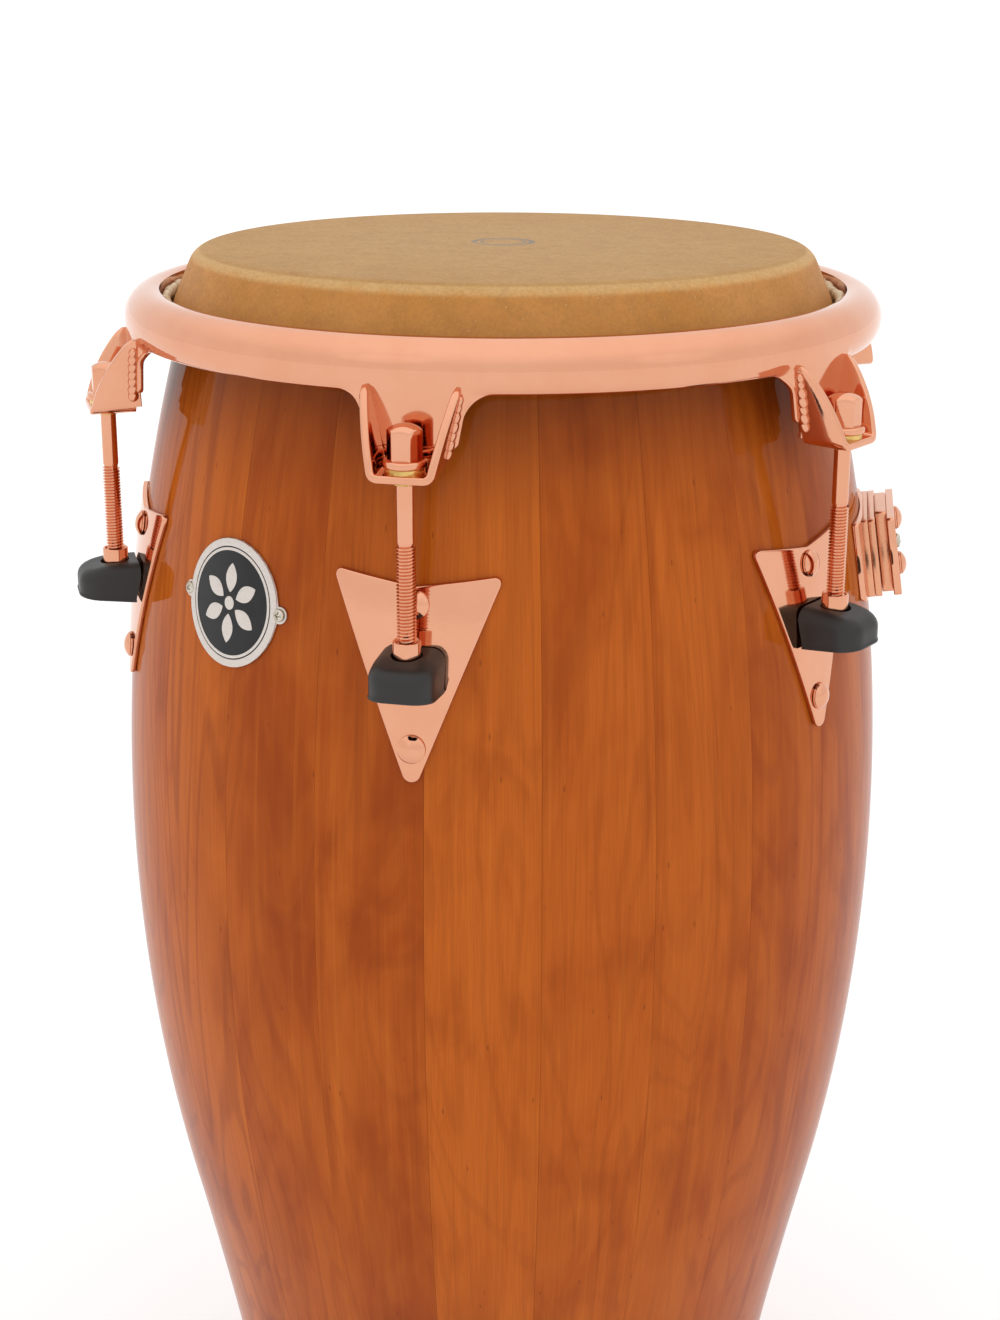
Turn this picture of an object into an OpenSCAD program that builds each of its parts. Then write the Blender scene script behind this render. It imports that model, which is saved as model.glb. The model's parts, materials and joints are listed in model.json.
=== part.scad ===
// Conga drum: a barrel of glued staves under a tensioned head, tuned by six lugs.
// Millimetres, +Z up. The origin is on the floor, in the middle of the foot.
// Angles run anticlockwise seen from above, from the badge side at -Y.

/* [Shell] */
// Height of the playing surface above the floor
drum_h = 762; // [740:1:790]
// Diameter of the shell at its widest
belly_d = 378; // [374:1:382]
// Height of the widest point
belly_z = 484; // [478:1:490]
// Radius of the lengthwise bulge of the staves
belly_arc = 908; // [895:1:920]
// Height where the bulge turns into the hollow flare of the foot
waist_z = 285; // [275:1:295]
// Diameter of the shell at the floor
foot_d = 238; // [230:1:250]
// Thickness of the wood
shell_t = 12; // [10:0.5:13]
// Pairs of staves round the shell
stave_pairs = 12; // [8:1:12]
// Angle of the first seam from the middle of the badge
seam_angle = 1.5; // [0:0.5:4]

/* [Head and rim] */
// Thickness of the head
head_t = 2; // [1.5:0.1:2.5]
// Diameter of the flat top of the head
head_d = 283; // [281:1:284]
// Depth of the rim's crest below the playing surface
rim_drop = 17.5; // [16:0.5:19]
// Diameter of the rim over everything
rim_d = 363; // [362:1:365]
// Radial half-width of the rounded rim
rim_a = 12; // [11:0.5:13]
// Half-height of the rounded rim
rim_b = 13; // [12:0.5:14]
// Thickness of the rim's steel
rim_t = 3; // [2.5:0.5:3]

/* [Tuning lugs] */
// Number of lugs round the drum
lug_count = 6; // [5:1:6]
// Diameter of the circle through the lugs
lug_circle_d = 384; // [383:0.1:386]
// Major diameter of the lug's thread
thread_d = 7.94; // [7:0.01:8]
// Diameter of the plain shank above the thread
shank_d = 7; // [6:0.1:7]
// Width of the hexagon head across its flats
hex_af = 12.7; // [11:0.1:13]
// Height of the hexagon above its flange
hex_h = 14.1; // [10:0.1:15]
// Length of the lug below its flange
lug_len = 93; // [91:0.5:95]

/* [Hooks] */
// Depth of the hook's underside below the playing surface
hook_drop = 70.5; // [68:0.5:72]
// Height of the hook
hook_h = 34.5; // [33:0.5:35]
// Width across the foot of the hook
hook_w = 26; // [25:0.5:28]
// Width across the spread tips of the hook
hook_top_w = 41; // [40:0.5:43]
// Thickness of the hook's steel
hook_t = 3; // [2.5:0.1:3.2]

/* [Side plates] */
// Width of a side plate between its corners, before they are rounded
plate_w = 72; // [66:1:76]
// Height of a side plate from its corners to its tip, before they are rounded
plate_h = 93; // [88:1:96]
// Height of a side plate's upper corners above the floor
plate_top = 648.5; // [645:0.5:652]
// Depth of the notch in the upper edge
notch = 5.3; // [2:0.1:8]
// Thickness of a side plate
plate_t = 2.5; // [2:0.1:3]

/* [Boots] */
// Width of a rubber boot
boot_w = 27.5; // [25:0.5:30]
// Height of the boot's upper edge at the plate
boot_top = 619.5; // [617:0.5:621]
// Height of the boot's lower edge at the plate
boot_low = 600.5; // [597:0.5:602]
// Distance of the boot's nose from the drum's axis
boot_nose = 210; // [208:0.1:212]

/* [Badge] */
// Diameter of the round badge
badge_d = 55; // [50:1:60]
// Height of the badge's middle
badge_z = 623.5; // [620:0.5:626]
// Distance between the badge's two screws
badge_pitch = 57; // [54:0.5:62]
// Angle of the badge's middle
badge_angle = 0.9; // [-1:0.1:1]

/* [Stand bracket] */
// Angle of the stand bracket
bracket_angle = 120; // [118:1:122]
// Height of the bracket's middle
bracket_z = 620.5; // [612:0.5:622]
// Width of the cover plate
cover_w = 57; // [50:1:60]
// Height of the cover plate
cover_h = 37.5; // [34:0.5:40]
// Width of the spacer behind the cover
spacer_w = 38; // [30:1:42]
// Thickness of the spacer, which is the slot for the stand's tongue
spacer_t = 5.2; // [5:0.1:6]

/* [Foot] */
// Height of the steel band round the foot
band_h = 30; // [20:1:40]
// Thickness of the rubber under the wood
foot_t = 5; // [4:0.5:8]

/* [Hidden] */
$fn = 64;
// clearances
face_gap = 0.1;       // between a plate and the curved surface it is bolted to
run_gap = 0.08;       // radial, between a lug and the parts it turns in
seam_gap = 0.1;       // the glue line between two staves
// radii and heights worked out from the driving sizes
belly_r = belly_d / 2;
foot_r = foot_d / 2;
lug_r = lug_circle_d / 2;
shell_top = drum_h - head_t;
shell_low = foot_t;
waist_tilt = asin((belly_z - waist_z) / belly_arc);
waist_r = belly_r - belly_arc * (1 - cos(waist_tilt));
waist_rise = [waist_r - foot_r, waist_z];
waist_normal = [cos(waist_tilt), -sin(waist_tilt)];
flare_arc = -(waist_rise * waist_rise) / (2 * waist_rise * waist_normal);
flare_mid = [waist_r, waist_z] + flare_arc * waist_normal;
z_step = 30;          // spacing of the points along a lengthwise curve
// rim section: the outside is an ellipse round rim_mid
rim_mid = [rim_d / 2 - rim_a, drum_h - rim_drop - rim_b];
rim_low_a = -42;      // where the section ends, at the lower outer edge
rim_top_a = 112;      // where the section turns down inside
lip_t = 2.5;
lip_drop = 9.5;       // the lip's lower edge below the rim's crest
tab_r = rim_mid[0] + rim_a * cos(rim_low_a);
tab_low = drum_h - hook_drop + 10;
tab_half = 22;        // half the tab's width at the rim
tab_foot = 18;        // half the tab's width at its lower edge
tab_fillet = 12;
// flesh hoop, which the head is folded round
hoop_w = 5.4;
hoop_h = 8;
hoop_r = rim_mid[0] + rim_a * cos(rim_top_a) - 4.2;
hoop_top = drum_h - rim_drop - lip_drop;
// hook and what stands on its floor
hook_low = drum_h - hook_drop;
hook_floor = hook_low + hook_t;
hook_reach = 9;       // from the lug's axis to the hook's outer edge
bushing_d = 10.4;
bushing_lip = 1.5;
washer_d = 16;
washer_t = 2.5;
flange_d = 18;
flange_t = 3.1;
flange_z = hook_floor + washer_t;
shank_l = 32;
// receiver
receiver_d = 11.5;
receiver_top = 625.5;
receiver_low = 604;
arm_w = 11;
arm_h = 5;
boot_wall = 2.6;
boot_fall = 2;        // how much lower the boot's top is at its nose
boot_rise = 5.5;      // how much higher its lower edge is there
// bolts
bolt_head_d = 12;
bolt_head_h = 3.4;
bolt_d = 6;
bolt_rows = [12.8, 72];    // below the plate's upper corners
nut_af = 10;
nut_h = 5;
inner_washer_d = 16;
inner_washer_t = 1.5;
inner_seat = 0.4;     // a flat washer stands off the hollow wall by this much
bracket_pitch = 22.8;
bracket_head_d = 11.3;
cover_t = 3.7;
saddle_t = 3;
saddle_w = 70;
backing_t = 4;        // the flat pad on the saddle
spacer_z = saddle_t + backing_t + 2 * face_gap;    // the back of the spacer, off the shell
cover_z = spacer_z + spacer_t;
// badge and its screws
badge_t = 1.6;
ear_r = 3.7;
badge_screw_d = 2.6;
badge_screw_l = 10;

function lug_angle(i) = 30 + i * 360 / lug_count;

// Outer radius of the shell at height z: a bulging arc that runs into a hollow one.
function shell_r(z) = z > waist_z
    ? belly_r - belly_arc + sqrt(pow(belly_arc, 2) - pow(z - belly_z, 2))
    : flare_mid[0] - sqrt(pow(flare_arc, 2) - pow(z - flare_mid[1], 2));

// Lean of the shell's surface from upright at height z, on the bulge.
function shell_lean(z) = asin((z - belly_z) / belly_arc);

// Heights from low to high, evenly spaced at about z_step, both ends included.
function heights(low, high) =
    let (n = ceil((high - low) / z_step)) [for (i = [0:n]) low + (high - low) * i / n];

// The points [radius, height] of the shell's surface moved outwards by off.
function shell_line(low, high, off) = [for (z = heights(low, high)) [shell_r(z) + off, z]];

function reversed(list) = [for (i = [len(list) - 1:-1:0]) list[i]];

function unit(v) = v / norm(v);

// One corner p between points a and b, rounded to radius r; r = 0 keeps it sharp.
function corner(a, p, b, r) =
    let (u = unit(a - p), v = unit(b - p), half = acos(u * v) / 2)
    r == 0 ? [p] :
    let (mid = p + unit(u + v) * r / sin(half),
         start = p + u * r / tan(half),
         end = p + v * r / tan(half))
    [for (k = [0:4]) mid + r * unit(unit(start - mid) * (4 - k) + unit(end - mid) * k)];

// A closed outline from rows of [x, y, corner radius].
function outline(rows) =
    let (n = len(rows), xy = [for (q = rows) [q[0], q[1]]])
    [for (i = [0:n - 1]) each corner(xy[(i + n - 1) % n], xy[i], xy[(i + 1) % n], rows[i][2])];

// Points on an arc of radius r that bulges to the right of the way from a to b.
function arc_between(a, b, r) =
    let (half = norm(b - a) / 2,
         left = unit([a[1] - b[1], b[0] - a[0]]),
         mid = (a + b) / 2 + left * sqrt(r * r - half * half),
         from = atan2(a[1] - mid[1], a[0] - mid[0]),
         turn = 2 * asin(half / r))
    [for (k = [0:8]) mid + r * [cos(from + turn * k / 8), sin(from + turn * k / 8)]];

// Rows mirrored to the left, so that half an outline is enough.
function both_sides(rows) = concat(rows, [for (q = reversed(rows)) [-q[0], q[1], q[2]]]);

// Frame at angle a: x runs along the rim, y is the height and z the distance from the axis.
module radial(a) {
    rotate([0, 0, a]) rotate([90, 0, 0]) children();
}

// Frame square to the shell's surface at angle a and height z, z pointing outwards.
module on_shell(a, z) {
    radial(a) translate([0, z, shell_r(z)]) rotate([-shell_lean(z), 0, 0]) children();
}

// A prism across the radius at angle a, from an outline of [radius, height] points.
module side_prism(a, width, points) {
    rotate([0, 0, a]) rotate([90, 0, -90])
        linear_extrude(width, center = true) polygon(points);
}

// Upright things on the circle of lugs.
module at_lug(i, z) {
    rotate([0, 0, lug_angle(i)]) translate([0, -lug_r, z]) children();
}

// A skin that follows the shell, from off to off + t outside it.
module shell_skin(low, high, off, t) {
    rotate_extrude($fn = 96)
        polygon(concat(shell_line(low, high, off), reversed(shell_line(low, high, off + t))));
}

// A plate bent to the shell with the given [x, height] outline.
module bent_plate(a, low, high, t, points) {
    intersection() {
        shell_skin(low, high, face_gap, t);
        radial(a) translate([0, 0, belly_r / 2]) linear_extrude(belly_r) polygon(points);
    }
}

// A shallow dome of diameter d and height h, flat side down.
module dome(d, h) {
    ball_r = (d * d / 4 + h * h) / (2 * h);
    intersection() {
        translate([0, 0, h - ball_r]) sphere(ball_r);
        cylinder(d = d, h = h);
    }
}

module tube(outer_d, inner_d, h) {
    difference() {
        cylinder(d = outer_d, h = h);
        translate([0, 0, -1]) cylinder(d = inner_d, h = h + 2);
    }
}

// Puts its children at every bolt that goes through a side plate and the shell.
module at_plate_bolts() {
    for (i = [0:lug_count - 1])
        for (row = bolt_rows)
            on_shell(lug_angle(i), plate_top - row) children();
}

// Puts its children at the two bolts of the stand bracket.
module at_bracket_bolts() {
    for (side = [-1, 1])
        on_shell(bracket_angle, bracket_z) translate([0, side * bracket_pitch / 2, 0]) children();
}

module at_badge_screws() {
    for (side = [-1, 1])
        on_shell(badge_angle + asin(side * badge_pitch / 2 / shell_r(badge_z)), badge_z) children();
}

// ---- shell ----

module shell_bores() {
    bore_d = bolt_d + 0.6;
    through = 4 * shell_t;
    at_plate_bolts() cylinder(d = bore_d, h = through, center = true);
    at_bracket_bolts() cylinder(d = bore_d, h = through, center = true);
    at_badge_screws() cylinder(d = badge_screw_d + 0.1, h = 2 * badge_screw_l + 1, center = true);
}

module stave_pair(i) {
    top_r = shell_r(shell_top);
    // the bearing edge: a bevel outside that rolls over into the flat top, [outwards, down]
    bevel = [[-2, 1.9], [-5, 0]];
    edge = 2.5;   // its chamfer inside
    wide = 180 / stave_pairs;
    glue = 2 * asin(seam_gap / 2 / belly_r);
    section = concat(
        shell_line(shell_low, shell_top - 4, 0),
        [for (p = bevel) [top_r + p[0], shell_top - p[1]]],
        [[top_r - shell_t + edge, shell_top]],
        reversed(shell_line(shell_low, shell_top - 2 * edge, -shell_t)));
    color([0.66, 0.33, 0.13])
    difference() {
        for (half = [0, 1])
            rotate([0, 0, -90 + seam_angle + (2 * i + half) * wide])
                rotate_extrude(angle = wide - glue, $fn = 96) polygon(section);
        shell_bores();
    }
}

// ---- head ----

module head_membrane() {
    color([0.74, 0.58, 0.33])
    translate([0, 0, shell_top]) cylinder(d = head_d, h = head_t, $fn = 96);
}

// The sloping collar of the head, from the bearing edge down to the flesh hoop.
module head_collar() {
    skin = 1.8;
    crown = [head_d / 2 + face_gap, shell_top];
    outside = [crown + [3, 1.4], crown + [6.1, -0.5], crown + [8.5, -3.3], crown + [13.2, -14.3],
               crown + [16.4, -22], [hoop_r - 0.4, hoop_top - hoop_h + 2]];
    color([0.70, 0.47, 0.21])
    rotate_extrude($fn = 96)
        polygon(concat([crown + [0, head_t]], outside,
                       reversed([for (k = [2:len(outside) - 1]) outside[k] - [skin, 0]]),
                       [crown + [4.2, -1.2], crown + [0, 0.05]]));
}

module flesh_hoop() {
    color([0.45, 0.45, 0.44])
    translate([0, 0, hoop_top - hoop_h])
        tube(2 * (hoop_r + hoop_w), 2 * hoop_r, hoop_h, $fn = 96);
}

// ---- rim and hooks ----

function rim_point(a, inset) = rim_mid + [(rim_a - inset) * cos(a), (rim_b - inset) * sin(a)];

module rim() {
    step = 11;
    crest = rim_mid[1] + rim_b;
    outside = [for (a = [rim_low_a:step:rim_top_a]) rim_point(a, 0)];
    inside = [for (a = [rim_top_a - step:-step:rim_low_a]) rim_point(a, rim_t)];
    lip_r = rim_point(rim_top_a, 0)[0];
    lip = [[lip_r, crest - lip_drop], [lip_r + lip_t, crest - lip_drop]];
    half_tab = [[2 * tab_half, crest - 20, 0], [2 * tab_half, rim_point(rim_low_a, 0)[1], 0],
                [tab_half, rim_point(rim_low_a, 0)[1], tab_fillet], [tab_foot, tab_low, 3]];
    color([0.85, 0.52, 0.40]) {
        rotate_extrude($fn = 96) polygon(concat(outside, lip, inside));
        for (i = [0:lug_count - 1])
            intersection() {
                translate([0, 0, tab_low])
                    tube(2 * tab_r, 2 * (tab_r - rim_t), crest - tab_low, $fn = 96);
                radial(lug_angle(i)) translate([0, 0, belly_r / 2])
                    linear_extrude(belly_r) polygon(outline(both_sides(half_tab)));
            }
    }
}

// A bent steel stirrup, welded by its two arms to a tab of the rim.
module lug_hook(i) {
    top = hook_low + hook_h;
    front = lug_r + hook_reach;
    back = tab_r - 2;
    nose_r = 46;  // radius of the arms' curved outer edge
    arms = both_sides([[hook_top_w / 2, top, 0], [hook_w / 2, hook_low, 5]]);
    room = both_sides([[hook_top_w / 2 - hook_t * 1.05, top + 1, 0],
                       [hook_w / 2 - hook_t * 1.05, hook_floor, 2]]);
    side = concat([[back, hook_low - 1], [front, hook_low - 1]],
                  arc_between([front, hook_low + 1], [tab_r + 3.5, top], nose_r),
                  [[back, top]]);
    color([0.88, 0.55, 0.42])
    difference() {
        intersection() {
            radial(lug_angle(i)) translate([0, 0, back])
                linear_extrude(front - back + 1)
                difference() {
                    polygon(outline(arms));
                    polygon(outline(room));
                }
            side_prism(lug_angle(i), hook_top_w + 2, side);
        }
        at_lug(i, hook_low - 1) cylinder(d = bushing_d - 0.6 + 2 * face_gap, h = hook_t + 2);
        // the tabs' round face, which the hook stands against
        translate([0, 0, tab_low - 20])
            cylinder(r = tab_r + face_gap, h = drum_h - tab_low, $fn = 96);
        // the rim's own curve above the tabs
        rotate_extrude($fn = 96)
            polygon(concat([for (a = [rim_low_a:11:rim_top_a - 44]) rim_point(a, -2 * face_gap)],
                           [[tab_r - 9, rim_mid[1] + 8], [tab_r - 9, rim_mid[1] - 8]]));
    }
}

module hook_bushings() {
    color([0.72, 0.58, 0.30])
    for (i = [0:lug_count - 1])
        at_lug(i, 0)
            difference() {
                union() {
                    translate([0, 0, hook_low - bushing_lip]) cylinder(d = bushing_d, h = bushing_lip);
                    translate([0, 0, hook_low]) cylinder(d = bushing_d - 0.6, h = hook_t);
                }
                translate([0, 0, hook_low - 5]) cylinder(d = thread_d + 2 * run_gap, h = hook_t + 10);
            }
}

module lug_washers() {
    color([0.72, 0.58, 0.30])
    for (i = [0:lug_count - 1])
        at_lug(i, hook_floor) tube(washer_d, thread_d + 2 * run_gap, washer_t);
}

// ---- lugs ----

module tuning_lug(i) {
    hex_d = hex_af / cos(30);
    crown_r = 11;   // radius of the ball that rounds the top of the head
    point = 1;
    color([0.90, 0.57, 0.44])
    at_lug(i, flange_z) {
        cylinder(d = flange_d, h = flange_t);
        intersection() {
            cylinder(d = hex_d, h = flange_t + hex_h, $fn = 6);
            translate([0, 0, flange_t + hex_h - crown_r]) union() {
                sphere(crown_r);
                translate([0, 0, -hex_h - flange_t]) cylinder(r = crown_r, h = hex_h + flange_t);
            }
        }
        translate([0, 0, -shank_l]) cylinder(d = shank_d, h = shank_l);
        translate([0, 0, -lug_len + point]) cylinder(d = thread_d, h = lug_len - shank_l - point);
        translate([0, 0, -lug_len]) cylinder(d1 = thread_d - 2 * point, d2 = thread_d, h = point);
    }
}

// The threaded block that the lug pulls on, with an arm welded to the side plate.
module lug_receiver(i) {
    color([0.88, 0.55, 0.42])
    difference() {
        union() {
            at_lug(i, receiver_low) cylinder(d = receiver_d, h = receiver_top - receiver_low);
            side_prism(lug_angle(i), arm_w, [[lug_r, receiver_low + 3], [lug_r - 14, receiver_low + 3],
                [lug_r - 14, receiver_low + 3 + arm_h], [lug_r, receiver_low + 3 + arm_h]]);
        }
        at_lug(i, receiver_low - 1)
            cylinder(d = thread_d + 2 * run_gap, h = receiver_top - receiver_low + 2);
        plate_clear();
    }
}

// Everything inside the outer face of the side plates.
module plate_clear() {
    low = plate_top - plate_h;
    line = shell_line(low, plate_top, plate_t + 2 * face_gap);
    rotate_extrude($fn = 96) polygon(concat([[0, low]], line, [[0, plate_top]]));
}

// A hollow rubber cap over the receiver, open underneath for the lug's end.
module bumper_boot(i) {
    back = lug_r - 14;
    half = boot_w / 2;
    plan = outline([[-half, -back, 0], [-half, -boot_nose, 9], [half, -boot_nose, 9], [half, -back, 0]]);
    room = outline([[boot_wall - half, -back, 0], [boot_wall - half, boot_wall - boot_nose, 6.5],
                    [half - boot_wall, boot_wall - boot_nose, 6.5], [half - boot_wall, -back, 0]]);
    side = outline([[back, boot_low, 0], [boot_nose, boot_low + boot_rise, 1],
                    [boot_nose, boot_top - boot_fall, 6], [lug_r + 6, boot_top, 12], [back, boot_top, 0]]);
    color([0.16, 0.16, 0.16])
    difference() {
        intersection() {
            rotate([0, 0, lug_angle(i)]) translate([0, 0, boot_low])
                linear_extrude(boot_top - boot_low) polygon(plan);
            side_prism(lug_angle(i), boot_w + 2, side);
        }
        rotate([0, 0, lug_angle(i)]) translate([0, 0, boot_low - 1])
            linear_extrude(boot_top - boot_low - boot_fall - boot_wall + 1) polygon(room);
        at_lug(i, boot_low) cylinder(d = receiver_d + 2 * face_gap, h = boot_top - boot_low + 1);
        plate_clear();
    }
}

// ---- side plates and their bolts ----

module side_plate(i) {
    low = plate_top - plate_h;
    rows = [[-plate_w / 2, plate_top, 4], [0, plate_top - notch, 0], [plate_w / 2, plate_top, 4],
            [0, low, 4]];
    color([0.85, 0.52, 0.40])
    difference() {
        bent_plate(lug_angle(i), low, plate_top, plate_t, outline(rows));
        for (row = bolt_rows)
            on_shell(lug_angle(i), plate_top - row)
                cylinder(d = bolt_d + 0.2, h = 2 * shell_t, center = true);
    }
}

// A round-headed bolt from outside the wall of thickness wall, with its head at seat.
module through_bolt(head_d, seat) {
    inner_end = shell_t + inner_seat + inner_washer_t + nut_h + 1;
    translate([0, 0, seat]) dome(head_d, bolt_head_h);
    translate([0, 0, -inner_end]) cylinder(d = bolt_d, h = inner_end + seat);
}

module plate_bolts() {
    color([0.90, 0.57, 0.44]) at_plate_bolts() through_bolt(bolt_head_d, plate_t + 2 * face_gap);
}

module inner_washers() {
    color([0.70, 0.70, 0.70]) {
        at_plate_bolts() inner_washer();
        at_bracket_bolts() inner_washer();
    }
}

module inner_washer() {
    translate([0, 0, -shell_t - inner_seat - inner_washer_t])
        tube(inner_washer_d, bolt_d + 0.3, inner_washer_t);
}

module inner_nuts() {
    color([0.70, 0.70, 0.70]) {
        at_plate_bolts() inner_nut();
        at_bracket_bolts() inner_nut();
    }
}

module inner_nut() {
    translate([0, 0, -shell_t - inner_seat - inner_washer_t - nut_h])
        difference() {
            cylinder(d = nut_af / cos(30), h = nut_h, $fn = 6);
            translate([0, 0, -1]) cylinder(d = bolt_d + 0.04, h = nut_h + 2);
        }
}

// ---- badge ----

module badge_plate() {
    steps = 48;
    round = [for (k = [0:steps - 1]) badge_d / 2 * [cos(k * 360 / steps), sin(k * 360 / steps)]];
    color([0.80, 0.72, 0.68])
    difference() {
        intersection() {
            shell_skin(badge_z - badge_d / 2 - 4, badge_z + badge_d / 2 + 4, face_gap, badge_t);
            union() {
                radial(badge_angle) translate([0, badge_z, belly_r / 2]) linear_extrude(belly_r) polygon(round);
                at_badge_screws() cylinder(r = ear_r, h = 20, center = true);
            }
        }
        at_badge_screws() cylinder(d = badge_screw_d + 0.2, h = 20, center = true);
    }
}

module badge_screws() {
    color([0.75, 0.72, 0.66])
    at_badge_screws() {
        translate([0, 0, badge_t + 2 * face_gap]) dome(5.4, 1.8);
        translate([0, 0, -badge_screw_l]) cylinder(d = badge_screw_d, h = badge_screw_l + badge_t + 0.4);
    }
}

// ---- stand bracket: a cover held off the shell, so that a stand's forked tongue slides behind it ----

// The saddle is bent to the shell and carries a flat pad.
module bracket_saddle() {
    half = [saddle_w / 2, cover_h / 2];
    rows = both_sides([[half[0], bracket_z + half[1], 2], [half[0], bracket_z - half[1], 2]]);
    color([0.85, 0.52, 0.40])
    difference() {
        union() {
            bent_plate(bracket_angle, bracket_z - cover_h, bracket_z + cover_h, saddle_t, outline(rows));
            bracket_layer(cover_w, cover_h, saddle_t - 0.5, backing_t + 0.5);
        }
        at_bracket_bolts() cylinder(d = bolt_d + 0.2, h = 20, center = true);
    }
}

// A flat bracket plate of the given size with its back at height z off the shell.
module bracket_layer(w, h, z, t) {
    half = both_sides([[w / 2, h / 2, 1.5], [w / 2, -h / 2, 1.5]]);
    difference() {
        on_shell(bracket_angle, bracket_z) translate([0, 0, z]) linear_extrude(t) polygon(outline(half));
        at_bracket_bolts() cylinder(d = bolt_d + 0.2, h = 60, center = true);
    }
}

module bracket_spacer() {
    color([0.80, 0.50, 0.36]) bracket_layer(spacer_w, cover_h + 2, spacer_z, spacer_t);
}

module bracket_cover() {
    color([0.88, 0.55, 0.42])
    difference() {
        bracket_layer(cover_w, cover_h, cover_z, cover_t);
        on_shell(bracket_angle, bracket_z) cylinder(d = 3.2, h = 60, center = true);
    }
}

module bracket_bolts() {
    color([0.90, 0.57, 0.44]) at_bracket_bolts() through_bolt(bracket_head_d, cover_z + cover_t);
}

module bracket_screw() {
    color([0.75, 0.75, 0.74])
    on_shell(bracket_angle, bracket_z) {
        translate([0, 0, cover_z + cover_t]) dome(7, 2);
        translate([0, 0, cover_z + 0.2]) cylinder(d = 3, h = cover_t);
    }
}

// ---- foot ----

module bottom_band() {
    low = shell_low + 9;
    color([0.85, 0.52, 0.40]) shell_skin(low, low + band_h, face_gap, 1.3);
}

module foot_ring() {
    wall = 3.2;
    cuff = shell_low + 8;
    line = shell_line(shell_low, cuff, face_gap);
    color([0.13, 0.13, 0.13])
    rotate_extrude($fn = 96) polygon(concat(
        [[foot_r - shell_t - wall, 1.5], [foot_r - shell_t - wall + 1.5, 0], [foot_r + wall - 1.5, 0],
         [foot_r + wall, 1.5], [shell_r(cuff) + wall, cuff - 1], [shell_r(cuff) + wall - 1, cuff]],
        reversed(line),
        [[shell_r(shell_low) - shell_t - face_gap, shell_low],
         [shell_r(cuff) - shell_t - face_gap, cuff], [shell_r(cuff) - shell_t - wall, cuff]]));
}

for (i = [0:stave_pairs - 1])
    stave_pair(i);
for (i = [0:lug_count - 1]) {
    lug_hook(i);
    tuning_lug(i);
    side_plate(i);
    lug_receiver(i);
    bumper_boot(i);
}
head_membrane();
head_collar();
flesh_hoop();
rim();
hook_bushings();
lug_washers();
plate_bolts();
inner_washers();
inner_nuts();
badge_plate();
badge_screws();
bracket_saddle();
bracket_spacer();
bracket_cover();
bracket_bolts();
bracket_screw();
bottom_band();
foot_ring();
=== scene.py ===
import json
import math
import random

import bmesh
import bpy
import numpy as np
from mathutils import Euler, Matrix, Vector

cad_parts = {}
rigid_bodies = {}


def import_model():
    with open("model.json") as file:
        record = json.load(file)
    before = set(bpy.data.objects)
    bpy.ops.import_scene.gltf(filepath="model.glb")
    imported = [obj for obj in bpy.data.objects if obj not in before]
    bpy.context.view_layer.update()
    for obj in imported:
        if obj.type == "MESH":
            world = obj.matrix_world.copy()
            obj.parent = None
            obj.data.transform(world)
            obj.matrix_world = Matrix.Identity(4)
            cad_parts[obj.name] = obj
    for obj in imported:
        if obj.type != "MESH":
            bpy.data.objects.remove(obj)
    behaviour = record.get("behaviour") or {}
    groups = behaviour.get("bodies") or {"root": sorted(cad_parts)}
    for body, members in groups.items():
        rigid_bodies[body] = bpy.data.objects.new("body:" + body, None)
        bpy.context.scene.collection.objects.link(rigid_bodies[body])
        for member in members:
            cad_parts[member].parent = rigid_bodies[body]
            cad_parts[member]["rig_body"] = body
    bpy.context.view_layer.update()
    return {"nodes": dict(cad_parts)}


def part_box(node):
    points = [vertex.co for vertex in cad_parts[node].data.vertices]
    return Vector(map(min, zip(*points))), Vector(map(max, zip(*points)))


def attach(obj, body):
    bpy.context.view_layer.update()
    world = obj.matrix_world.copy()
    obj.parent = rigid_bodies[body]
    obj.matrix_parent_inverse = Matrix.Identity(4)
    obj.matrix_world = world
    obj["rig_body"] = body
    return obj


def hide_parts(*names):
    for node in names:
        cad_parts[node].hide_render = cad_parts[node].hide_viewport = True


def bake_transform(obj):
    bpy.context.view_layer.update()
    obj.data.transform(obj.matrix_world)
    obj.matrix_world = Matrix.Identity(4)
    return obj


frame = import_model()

# ---- the drum's own dimensions, in metres; a drum angle runs anticlockwise from the badge at -Y ----

MM = 0.001
BELLY_R = 0.189                     # the staves: a bulging arc that runs into a hollow flare
BELLY_Z = 0.484
BELLY_ARC = 0.908
WAIST_Z = 0.285
FOOT_R = 0.119
WALL = 0.012
SEAM = 1.5                          # drum angle of the first seam, degrees
BADGE_TURN = math.radians(0.9)      # the badge sits a little off -Y
BADGE_EAR = 28.5 * MM               # from its middle to each screw
STAVES = 24
LUGS = 6
GAP = 0.1 * MM                      # between a plate and the wall behind it


def heights(node):
    """Lowest and highest z of a CAD node."""
    return [corner.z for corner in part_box(node)]


SHELL_LOW, SHELL_TOP = heights("stave_pair_1")
TAB_LOW, RIM_TOP = heights("rim")
HOOK_LOW, HOOK_TOP = heights("lug_hook_1")
LUG_LOW, LUG_TOP = heights("tuning_lug_1")
BOOT_LOW, BOOT_TOP = heights("bumper_boot_1")
COLLAR_LOW, COLLAR_TOP = heights("lug_receiver_1")
BAND_LOW, BAND_TOP = heights("bottom_band")
HEAD_TOP = heights("head_membrane")[1]
HOOP_TOP = heights("flesh_hoop")[1]
CUFF_TOP = heights("foot_ring")[1]
RIM_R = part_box("rim")[1].x
BADGE_Z = sum(v.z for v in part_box("badge_plate")) / 2
LUG_R = sum((v.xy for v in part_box("tuning_lug_1")), Vector((0, 0))).length / 2

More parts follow.
